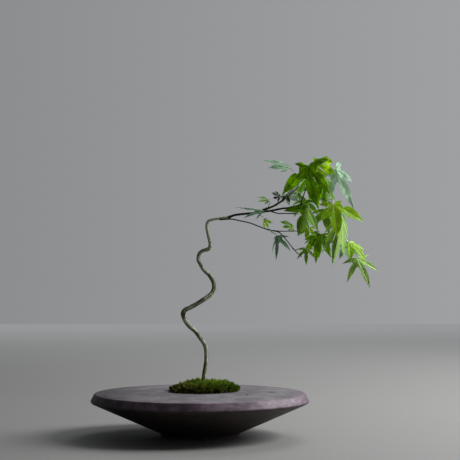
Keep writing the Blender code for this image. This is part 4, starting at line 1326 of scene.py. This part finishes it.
@dataclass
class Wood:
    """The trunk, its branches and its twigs, each a tube with the relief of its bark."""

    trunk_step: float = 1.3 * MM  # between the rings of the trunk
    twig_step: float = 1.1 * MM
    trunk_sides: int = 24
    twig_sides: int = 14
    furrow: float = 0.16 * MM  # depth of the trunk's furrows
    furrow_length: float = 11 * MM
    swell: float = 0.22 * MM  # how far the trunk slowly widens and narrows
    swell_length: float = 7 * MM
    twig_furrow: float = 0.06 * MM
    collar: float = 0.45  # how much wider a twig is where it leaves its parent, against its radius
    collar_length: float = 2.4 * MM
    joint: float = 0.28 * MM  # how far the wood swells where a leaf leaves it
    joint_length: float = 1.1 * MM
    scars: tuple[tuple[tuple[float, float, float], float, float], ...] = (
        # place in mm, how far the wood swells there and how wide the swelling is, in mm
        ((10.5, -3.5, 154), 1.1, 2.6),
        ((-4.6, 1.5, 143.5), 0.8, 2.0),
        ((-17.5, -8.0, 86.0), 0.5, 3.0),
        ((15.5, 1.0, 113.5), 0.45, 2.6),
        ((4.2, -1.5, 20.0), 0.45, 2.2),
    )

    def lay(self) -> dict[str, Route]:
        """Lay out the trunk and every twig.

        Returns:
            The route of each, by its name.
        """
        knots = [Vector((*above_rim(p), p[3] / 2 * MM)) for p in TRUNK_ROUTE]
        routes = {"trunk": Route(knots, self.trunk_step)}
        for twig in TWIGS:
            start = routes[twig.parent].stand_off(twig.at, above_rim(twig.route[0]), twig.thick / 2 * MM)
            count = len(twig.route)
            taper = twig.thin - twig.thick
            radii = [(twig.thick + taper * i / count) / 2 * MM for i in range(count + 1)]
            knots = [Vector((*start, radii[0]))]
            knots += [Vector((*above_rim(p), r)) for p, r in zip(twig.route, radii[1:])]
            routes[twig.name] = Route(knots, self.twig_step)
        return routes

    def trunk_relief(self, length: float, angle: float, spot: Vector) -> float:
        """Shape the trunk's skin with long furrows, slow swells and the scars of lost branches.

        Args:
            length: how far along the trunk.
            angle: how far round it.
            spot: the point of the smooth skin.

        Returns:
            How far the skin stands out there.
        """
        ring = Vector((math.cos(angle) * 1.7, math.sin(angle) * 1.7, length / self.furrow_length))
        rise = noise.noise(ring) * self.furrow
        rise += noise.noise(ring * 2.7 + Vector((4, 1, 0))) * self.furrow * 0.6
        rise += noise.noise(Vector((0.5, 0.2, length / self.swell_length))) * self.swell
        for place, swell, width in self.scars:
            away = (spot - above_rim(place)).length / (width * MM)
            rise += swell * MM * math.exp(-away * away)
        return rise

    def twig_relief(self, name: str, route: Route) -> Relief:
        """Give a twig's relief: a collar at its foot, a swelling at each leaf, and slight furrows.

        Args:
            name: the twig's name.
            route: its route.

        Returns:
            A function of the length, the angle and the point.
        """
        joints = [leaf.at * route.lengths[-1] for leaf in LEAVES if leaf.twig == name]
        radius = route.points[0].w

        def relief(length: float, angle: float, spot: Vector) -> float:
            """Find how far the twig's skin stands out at a length, an angle and a point."""
            rise = radius * self.collar * math.exp(-(length / self.collar_length) ** 2)
            rise += sum(self.joint * math.exp(-((length - at) / self.joint_length) ** 2) for at in joints)
            ring = Vector((math.cos(angle), math.sin(angle), length / (6 * MM)))
            return rise + noise.noise(ring * 1.6) * self.twig_furrow

        return relief

    def build(self, palette: Palette, routes: dict[str, Route]) -> None:
        """Roll the trunk and each twig, every twig rooted in the wood that it grows from.

        Args:
            palette: the materials.
            routes: the route of each, by its name.
        """
        trunk = roll_tube("trunk_wood", routes["trunk"].points, self.trunk_sides, self.trunk_relief)
        smooth(trunk, 60)
        place_piece(dress(trunk, palette.trunk), "bark", "trunk")
        for twig in TWIGS:
            route = routes[twig.name]
            parent, _, inside = routes[twig.parent].place(min(twig.at, LAST))
            first = route.points[0]
            root = Vector((*parent.lerp(first.xyz, 0.15), min(first.w, inside * 0.9)))
            tip = route.points[-1]
            ahead = (tip.xyz - route.points[-2].xyz).normalized()
            end = Vector((*(tip.xyz + ahead * tip.w * 0.6), tip.w * 0.45))
            made = roll_tube(f"{twig.name}_wood", [root, *route.points, end], self.twig_sides,
                             self.twig_relief(twig.name, route))
            smooth(made, 60)
            thick = twig.name in ("upper_branch", "lower_branch")
            place_piece(dress(made, palette.branch if thick else palette.twig), "bark", twig.name)


# --- Leaves -------------------------------------------------------------------------------------------


class Blade:
    """The frame of a leaf's blade, and the folded and bent surface that its flat outline is laid on."""

    def __init__(self, base: Vector, tip: Vector, faces: Vector, bend: float,
                 folds: tuple[float, float]) -> None:
        """Set the blade up.

        Args:
            base: where the stalk meets the blade.
            tip: the end of the middle lobe.
            faces: the way that its upper side faces.
            bend: how far the middle lobe turns along its length.
            folds: how far its two halves turn back.
        """
        reach = tip - base
        self.base = base
        self.bend = bend
        self.folds = folds
        self.length = reach.length * (bend / 2) / math.sin(bend / 2)
        chord = reach.normalized()
        normal = (faces - chord * faces.dot(chord)).normalized()
        self.across = normal.cross(chord)
        turn = Matrix.Rotation(-bend / 2, 3, self.across)
        self.along = turn @ chord
        self.normal = turn @ normal

    def place(self, along: float, across: float, rise: float = 0.0) -> Vector:
        """Lay a point of the flat blade on the folded and bent one.

        Args:
            along: how far it lies along the middle lobe.
            across: how far it lies to the left of it.
            rise: how far it lies above the blade.

        Returns:
            The point.
        """
        fold = self.folds[across > 0]
        rise = rise * math.cos(fold) - abs(across) * math.sin(fold)
        across *= math.cos(fold)
        reach = math.hypot(along, across)
        if reach < 1e-9:
            return self.base + self.normal * rise
        turn = self.bend * reach / self.length
        out = (self.along * along + self.across * across) / reach
        arc = out * math.sin(turn) - self.normal * (1 - math.cos(turn))
        upright = self.normal * math.cos(turn) + out * math.sin(turn)
        return self.base + arc * (self.length / self.bend) + upright * rise


Edge = tuple[float, float]
Row = tuple[float, Edge, Edge]


@dataclass(frozen=True)
class Lobe:
    """One lobe of a blade: its angle, its length, its notches and its neighbours' half angles."""

    angle: float
    length: float
    notches: tuple[Edge, Edge]  # right and left, along the lobe and out
    rooms: tuple[float, float]  # tangent of half the angle to each neighbour


@dataclass
class Foliage:
    """Every leaf, with its toothed lobes, its veins and its stalk."""

    patterns: dict[int | str, tuple[tuple[float, float], ...]] = field(default_factory=lambda: {
        # angle from the middle lobe in degrees, and length against the middle lobe's
        3: ((-95, 0.3), (-46, 0.92), (0, 1.0), (46, 0.92), (95, 0.3)),
        5: ((-88, 0.5), (-43, 0.84), (0, 1.0), (43, 0.84), (88, 0.5)),
        7: ((-112, 0.34), (-76, 0.62), (-38, 0.88), (0, 1.0), (38, 0.88), (76, 0.62), (112, 0.34)),
        "first": ((-122, 0.33), (-60, 0.87), (0, 1.0), (24, 0.8), (100, 0.5)),
        "left": ((-125, 0.3), (-76, 0.8), (0, 1.0), (56, 0.88), (112, 0.32)),
        "right": ((-96, 0.42), (-42, 0.66), (0, 1.0), (58, 0.96), (115, 0.27)),
    })
    sinus: float = 0.32  # how far out the notches between lobes lie, as a share of the lobes' lengths
    outline: tuple[Edge, ...] = (  # along a lobe, and half its width, both against its length
        (0.30, 0.100), (0.45, 0.143), (0.52, 0.145), (0.65, 0.122), (0.76, 0.086), (0.88, 0.036),
        (1.0, 0.0))
    shoulder: float = 0.1  # how far out an end lobe's free edge starts
    clearance: float = 0.4 * MM  # between a lobe's edge and the middle of the notch beside it
    trough: float = 0.22  # how steeply a lobe rises from its midrib to its edges
    fan: int = 4  # rows from the stalk to the notches
    teeth: int = 11  # on each side of a lobe
    tooth_out: float = 1.05  # width at a tooth's point
    tooth_in: float = 0.90  # width between two teeth
    tooth_lean: float = 0.016  # how far a tooth points forwards
    cross: int = 4  # faces from the midrib to an edge
    ripple: float = 0.55 * MM  # height of the ripple
    ripple_sizes: tuple[tuple[float, float], ...] = ((9 * MM, 1.0), (3.5 * MM, 0.5))  # and their shares
    flat_reach: float = 6 * MM  # the distance from the stalk at which the ripple is full
    crease_depth: float = 0.45  # of the crease along the midrib, against the ripple's height
    crease: float = 0.9 * MM  # half its width
    crease_reach: float = 5 * MM  # the distance along the midrib at which it is full
    thickness: float = 0.22 * MM
    rib: float = 0.26 * MM  # radius of a midrib at the stalk
    rib_sink: float = 0.28 * MM  # how far a midrib lies under the blade
    rib_run: tuple[float, float] = (0.02, 0.93)  # where a midrib starts and how far it goes, along a lobe
    rib_pieces: int = 12
    rib_sides: int = 6
    rib_taper: float = 0.7
    large_lobe: float = 22 * MM  # the length from which a lobe's midrib has its full radius
    stalk: float = 0.42 * MM  # radius of a stalk
    stalk_sides: int = 8
    stalk_step: float = 1.3 * MM
    stalk_taper: float = 0.22
    flare: float = 0.55  # how much wider a stalk is where it leaves its twig
    flare_length: float = 1.6 * MM
    leaving: float = 0.3  # how far a stalk goes straight out of its twig, as a share of its span
    grip: float = 0.8  # how far a stalk runs on under the blade, in mm
    under: float = 0.30  # how far it lies under the blade there, in mm

    def lobes(self, leaf: Leaf, scale: float) -> Iterator[Lobe]:
        """Work out a leaf's lobes.

        Args:
            leaf: the leaf's row.
            scale: the length of its middle lobe.

        Returns:
            Each lobe, from the right-hand side to the left.
        """
        pairs = [(math.radians(a * leaf.spread), b * scale) for a, b in self.patterns[leaf.lobes]]
        for i, (angle, length) in enumerate(pairs):
            notches, rooms = [], []
            for sign in (-1, 1):
                if 0 <= i + sign < len(pairs):
                    half = abs(pairs[i + sign][0] - angle) / 2
                    out = self.sinus * (length + pairs[i + sign][1]) / 2
                    notches.append((out * math.cos(half), out * math.sin(half)))
                    rooms.append(math.tan(half))
                else:
                    notches.append((self.sinus * length, self.shoulder * length))
                    rooms.append(math.inf)
            yield Lobe(angle, length, tuple(notches), tuple(rooms))

    def half_width(self, lobe: Lobe, side: int, along: float, breadth: float) -> float:
        """Find how far a lobe reaches to one side, kept clear of its neighbour.

        Args:
            lobe: the lobe.
            side: 0 for its right, 1 for its left.
            along: the length along it.
            breadth: the leaf's share of the drawn widths.

        Returns:
            The half width, without teeth.
        """
        share = min(1.0, along / lobe.length)
        width = 0.0
        for (a, low), (b, high) in zip(self.outline, self.outline[1:]):
            if a <= share <= b:
                t = (share - a) / (b - a)
                width = low + (high - low) * t
        width *= breadth * lobe.length
        if math.isfinite(lobe.rooms[side]):
            width = min(width, max(along * lobe.rooms[side] - self.clearance, self.clearance))
        return width

    def stations(self, lobe: Lobe, breadth: float) -> list[Row]:
        """Set out a lobe's rows, from the stalk to its tip.

        Args:
            lobe: the lobe.
            breadth: the leaf's share of the drawn widths.

        Returns:
            For each row, the place on the midrib, then the right and the left edge.
        """
        rows = []
        for k in range(self.fan + 1):
            t = k / self.fan
            edges = [(notch[0] * t, notch[1] * (t if math.isfinite(room) else t ** 0.7))
                     for notch, room in zip(lobe.notches, lobe.rooms)]
            rows.append((self.sinus * lobe.length * t, edges[0], edges[1]))
        count = 2 * self.teeth
        for k in range(1, count + 1):
            t = k / count
            rib = (self.sinus + (1 - self.sinus) * t) * lobe.length
            edges = []
            for side, notch in enumerate(lobe.notches):
                along = notch[0] + (lobe.length - notch[0]) * t
                width = self.half_width(lobe, side, along, breadth)
                width += (notch[1] - width) * max(0.0, 1 - t * 7)
                if k < count:
                    outer = k % 2 == 0
                    width *= self.tooth_out if outer else self.tooth_in
                    lean = self.tooth_lean if outer else -self.tooth_lean * 0.5
                    along += lobe.length * lean * (1 - t * 0.6)
                edges.append((min(along, lobe.length), width if k < count else 0.0))
            rows.append((rib, edges[0], edges[1]))
        return rows

    def make_lobe(self, name: str, blade: Blade, lobe: Lobe, breadth: float,
                  seed: Vector) -> bpy.types.Object:
        """Lay one lobe on the blade as a grid, with its UV map along and out from its midrib.

        Args:
            name: the object's name.
            blade: the bent surface.
            lobe: the lobe's sizes.
            breadth: the leaf's share of the drawn widths.
            seed: where in the noise this leaf's ripple is read.

        Returns:
            The open grid.
        """
        rows = self.stations(lobe, breadth)
        clear_selection()
        bpy.ops.mesh.primitive_grid_add(x_subdivisions=len(rows) - 1, y_subdivisions=2 * self.cross,
                                        size=1.0)
        made = named(name)
        heading = Vector((math.cos(lobe.angle), math.sin(lobe.angle)))
        aside = Vector((-heading.y, heading.x))
        flats = []
        for vert in made.data.vertices:
            row = round((vert.co.x + 0.5) * (len(rows) - 1))
            step = round((vert.co.y + 0.5) * 2 * self.cross) - self.cross
            rib, right, left = rows[row]
            edge = left if step > 0 else right
            t = abs(step) / self.cross
            along = rib + (edge[0] - rib) * t
            out = edge[1] * t * (1 if step > 0 else -1)
            flats.append((along, out))
            spot = heading * along + aside * out
            lift = abs(out) * self.trough
            wave = sum(share * noise.noise(spot.to_3d() / size + seed * order)
                       for order, (size, share) in enumerate(self.ripple_sizes, 1))
            lift += wave * self.ripple * min(1.0, spot.length / self.flat_reach)
            crease = math.exp(-(out / self.crease) ** 2) * min(1.0, along / self.crease_reach)
            lift -= self.ripple * self.crease_depth * crease
            vert.co = blade.place(spot.x, spot.y, lift)
        uvs = made.data.uv_layers[0].data
        for loop in made.data.loops:
            along, out = flats[loop.vertex_index]
            uvs[loop.index].uv = (along * DECIMETRES, out * DECIMETRES)
        return made

    def make_ribs(self, name: str, blade: Blade, lobes: Sequence[Lobe]) -> list[bpy.types.Object]:
        """Run a thin tapering midrib along the under side of each lobe.

        Args:
            name: the leaf's name.
            blade: the bent surface.
            lobes: the leaf's lobes.

        Returns:
            The midribs.
        """
        made = []
        for i, lobe in enumerate(lobes):
            points = []
            slim = min(1.0, lobe.length / self.large_lobe)
            for k in range(self.rib_pieces + 1):
                t = k / self.rib_pieces
                reach = lobe.length * (self.rib_run[0] + self.rib_run[1] * t)
                spot = blade.place(math.cos(lobe.angle) * reach, math.sin(lobe.angle) * reach,
                                   -self.rib_sink - self.rib * (1 - t) * 0.6)
                points.append(Vector((*spot, self.rib * (1.0 - self.rib_taper * t) * slim)))
            made.append(roll_tube(f"{name}_rib_{i}", points, self.rib_sides))
        return made

    def make_stalk(self, name: str, leaf: Leaf, blade: Blade, route: Route) -> bpy.types.Object:
        """Curve the stalk from inside its twig to the blade, thickest where it leaves the twig.

        Args:
            name: the leaf's name.
            leaf: the leaf's row.
            blade: the bent surface.
            route: the twig's route.

        Returns:
            The stalk.
        """
        point, _, inside = route.place(min(leaf.at, LAST))
        start = route.stand_off(leaf.at, blade.base, self.stalk)
        outward = (start - point).normalized()
        span = (blade.base - start).length
        knots = (start, start + outward * span * self.leaving, blade.base - blade.along * span * leaf.arch,
                 blade.base + blade.along * self.grip * MM - blade.normal * self.under * MM)
        points = [Vector((*point, min(self.stalk, inside * 0.8)))]
        pieces = max(12, round(span / self.stalk_step))
        for i in range(pieces + 1):
            t = i / pieces
            weights = ((1 - t) ** 3, 3 * t * (1 - t) ** 2, 3 * t * t * (1 - t), t ** 3)
            spot = sum((k * w for k, w in zip(knots, weights)), Vector())
            swell = 1 + self.flare * math.exp(-(t * span / self.flare_length) ** 2)
            points.append(Vector((*spot, self.stalk * swell * (1 - self.stalk_taper * t))))
        return roll_tube(f"{name}_stalk", points, self.stalk_sides)

    def build_leaf(self, number: int, leaf: Leaf, palette: Palette, routes: dict[str, Route]) -> None:
        """Make one leaf: its lobes joined at their notches and thickened, its midribs and its stalk.

        Args:
            number: the leaf's number.
            leaf: its row.
            palette: the materials.
            routes: the route of each twig, by its name.
        """
        name = f"leaf_{number:02d}"
        folds = tuple(math.radians(fold) for fold in leaf.folds)
        blade = Blade(above_rim(leaf.base), above_rim(leaf.tip), Vector(leaf.faces),
                      math.radians(leaf.bend), folds)
        lobes = list(self.lobes(leaf, blade.length))
        seed = Vector((number * 7.3, number * 3.1, number * 1.7))
        grids = [self.make_lobe(f"{name}_lobe_{i}", blade, lobe, leaf.breadth, seed)
                 for i, lobe in enumerate(lobes)]
        skin = join(grids, f"{name}_skin")
        close_up(skin, fill=False, distance=2e-6)
        upper, under, stem = palette.leaves[leaf.tone]
        dress(skin, upper, under)
        apply_modifier(skin, "SOLIDIFY", thickness=self.thickness, offset=0.0, material_offset=1)
        ribs = self.make_ribs(name, blade, lobes)
        ribs.append(self.make_stalk(name, leaf, blade, routes[leaf.twig]))
        for rib in ribs:
            dress(rib, stem)
        whole = join([skin, *ribs], f"{name}_blade")
        smooth(whole, 55)
        place_piece(whole, "leaf", name)

    def build(self, palette: Palette, routes: dict[str, Route]) -> None:
        """Make every leaf."""
        for number, leaf in enumerate(LEAVES, 1):
            self.build_leaf(number, leaf, palette, routes)


# --- What lies in the pot -----------------------------------------------------------------------------


def dress_fill() -> None:
    """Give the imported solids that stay, under the moss and in the pot, their materials."""
    finishes = {
        "soil": PlainGrain("soil_grain", (0.050, 0.032, 0.020), (0.110, 0.075, 0.045), 320, 0.9 * MM),
        "gravel": PlainGrain("gravel_grain", (0.30, 0.26, 0.20), (0.48, 0.43, 0.34), 190, 1.6 * MM),
        "drain_mesh": PlainGrain("drain_mesh_grain", (0.016, 0.016, 0.018), (0.028, 0.028, 0.030), 500,
                                 0.1 * MM, 0.55),
        "root": PlainGrain("root_grain", (0.11, 0.085, 0.05), (0.19, 0.155, 0.10), 420, 0.3 * MM, 0.8),
    }
    materials = {start: finish.make() for start, finish in finishes.items()}
    for name, node in frame["nodes"].items():
        for start, material in materials.items():
            if name.startswith(start):
                dress(node, material)


# --- Studio -------------------------------------------------------------------------------------------


@dataclass(frozen=True)
class Lamp:
    """A square area light: where it hangs, the point that it faces, its side and its strength in watts."""

    name: str
    place: tuple[float, float, float]
    towards: tuple[float, float, float]
    side: float
    power: float

    def hang(self) -> None:
        """Add the light."""
        clear_selection()
        bpy.ops.object.light_add(type="AREA", location=self.place,
                                 rotation=facing(self.place, self.towards))
        lamp = bpy.context.object
        lamp.name = self.name
        lamp.data.energy = self.power
        lamp.data.size = self.side


@dataclass
class Studio:
    """The floor, the surroundings, the lights and the camera."""

    camera: tuple[float, float, float] = (0.0325, -1.500, 0.182)
    target: tuple[float, float, float] = (0.0325, 0.0, 0.224)
    lens: float = 107.19
    sensor: float = 36.0
    far: float = 20.0  # metres that the camera sees
    lamps: tuple[Lamp, ...] = (
        Lamp("key", (1.35, 0.30, 1.05), (0.06, 0, 0.14), 0.8, 46.0),
        Lamp("back", (0.50, 1.30, 1.15), (0.10, 0, 0.20), 0.7, 7.0),
    )
    floor_side: float = 6.0
    floor_colour: Colour = (0.19, 0.19, 0.185)
    floor_cloud: Colour = (0.24, 0.24, 0.23)
    painted_glow: Colour = (0.232, 0.240, 0.243)  # the colour of the painted glow that the floor gives off at its far side
    painted_glow_reach: tuple[float, float] = (0.45, 2.9)  # how far back the painted glow starts, and where it is full
    sky: Colour = (0.975, 1.0, 1.03)
    sky_behind: tuple[float, float] = (0.31, 0.25)  # its level behind the pot, and its gain to the right
    sky_before: tuple[float, float] = (0.02, 0.25)  # the same on the camera's side

    def lay_floor(self) -> None:
        """Lay the plain floor under the pot, which glows with painted light behind it, fading into the
        surroundings.
        """
        clear_selection()
        bpy.ops.mesh.primitive_plane_add(size=self.floor_side)
        floor = named("studio_floor")
        recipe = Recipe("studio_floor")
        shade = recipe.noise(recipe.place(), 3, 2)
        colour = recipe.mix(recipe.band(shade, 0.3, 0.7) * 0.05, self.floor_colour, self.floor_cloud)
        # painted light: the floor glows more and more towards its far side
        away = recipe.band(recipe.part_of(recipe.place(), 1), *self.painted_glow_reach)
        painted_glow = recipe.mix(away, (0.0, 0.0, 0.0), self.painted_glow)
        shader = recipe.surface(colour, 0.7, None, Emission_Color=painted_glow, Emission_Strength=1.0)
        dress(floor, recipe.finish(shader))

    def make_world(self) -> bpy.types.World:
        """Make surroundings that are brighter behind and to the right.

        Returns:
            The world.
        """
        recipe = Recipe("studio_world", world=True)
        heading = recipe.add("ShaderNodeTexCoord")
        right = recipe.part_of(heading, 0)
        behind = recipe.band(recipe.part_of(heading, 1), -0.3, 0.6)
        level, gain = self.sky_behind
        far_side = behind * (level + right * gain)
        level, gain = self.sky_before
        near_side = (1.0 - behind) * (level + gain * recipe.band(right, -0.5, 1.0))
        colour = recipe.mix(1.0, far_side + near_side, self.sky, "MULTIPLY")
        background = recipe.add("ShaderNodeBackground", None, {"Color": colour})
        return recipe.finish(background, "ShaderNodeOutputWorld")

    def set_up(self) -> None:
        """Set the world, the lights and the camera."""
        self.lay_floor()
        bpy.context.scene.world = self.make_world()
        bpy.context.scene.view_settings.view_transform = "Standard"
        for lamp in self.lamps:
            lamp.hang()
        clear_selection()
        bpy.ops.object.camera_add(location=self.camera, rotation=facing(self.camera, self.target))
        camera = bpy.context.object
        camera.data.lens = self.lens
        camera.data.sensor_width = self.sensor
        camera.data.clip_end = self.far
        camera.data.dof.use_dof = False
        bpy.context.scene.camera = camera


def main() -> None:
    """Build the looks of the pot, the moss and the plant, and set up the studio."""
    logging.basicConfig(level=logging.INFO, format="%(message)s")
    palette = Palette()
    wood = Wood()
    routes = wood.lay()
    SaucerPot().build(palette)
    MossMound().build(palette, routes["trunk"])
    wood.build(palette, routes)
    Foliage().build(palette, routes)
    dress_fill()
    Studio().set_up()


if __name__ == "__main__":
    main()
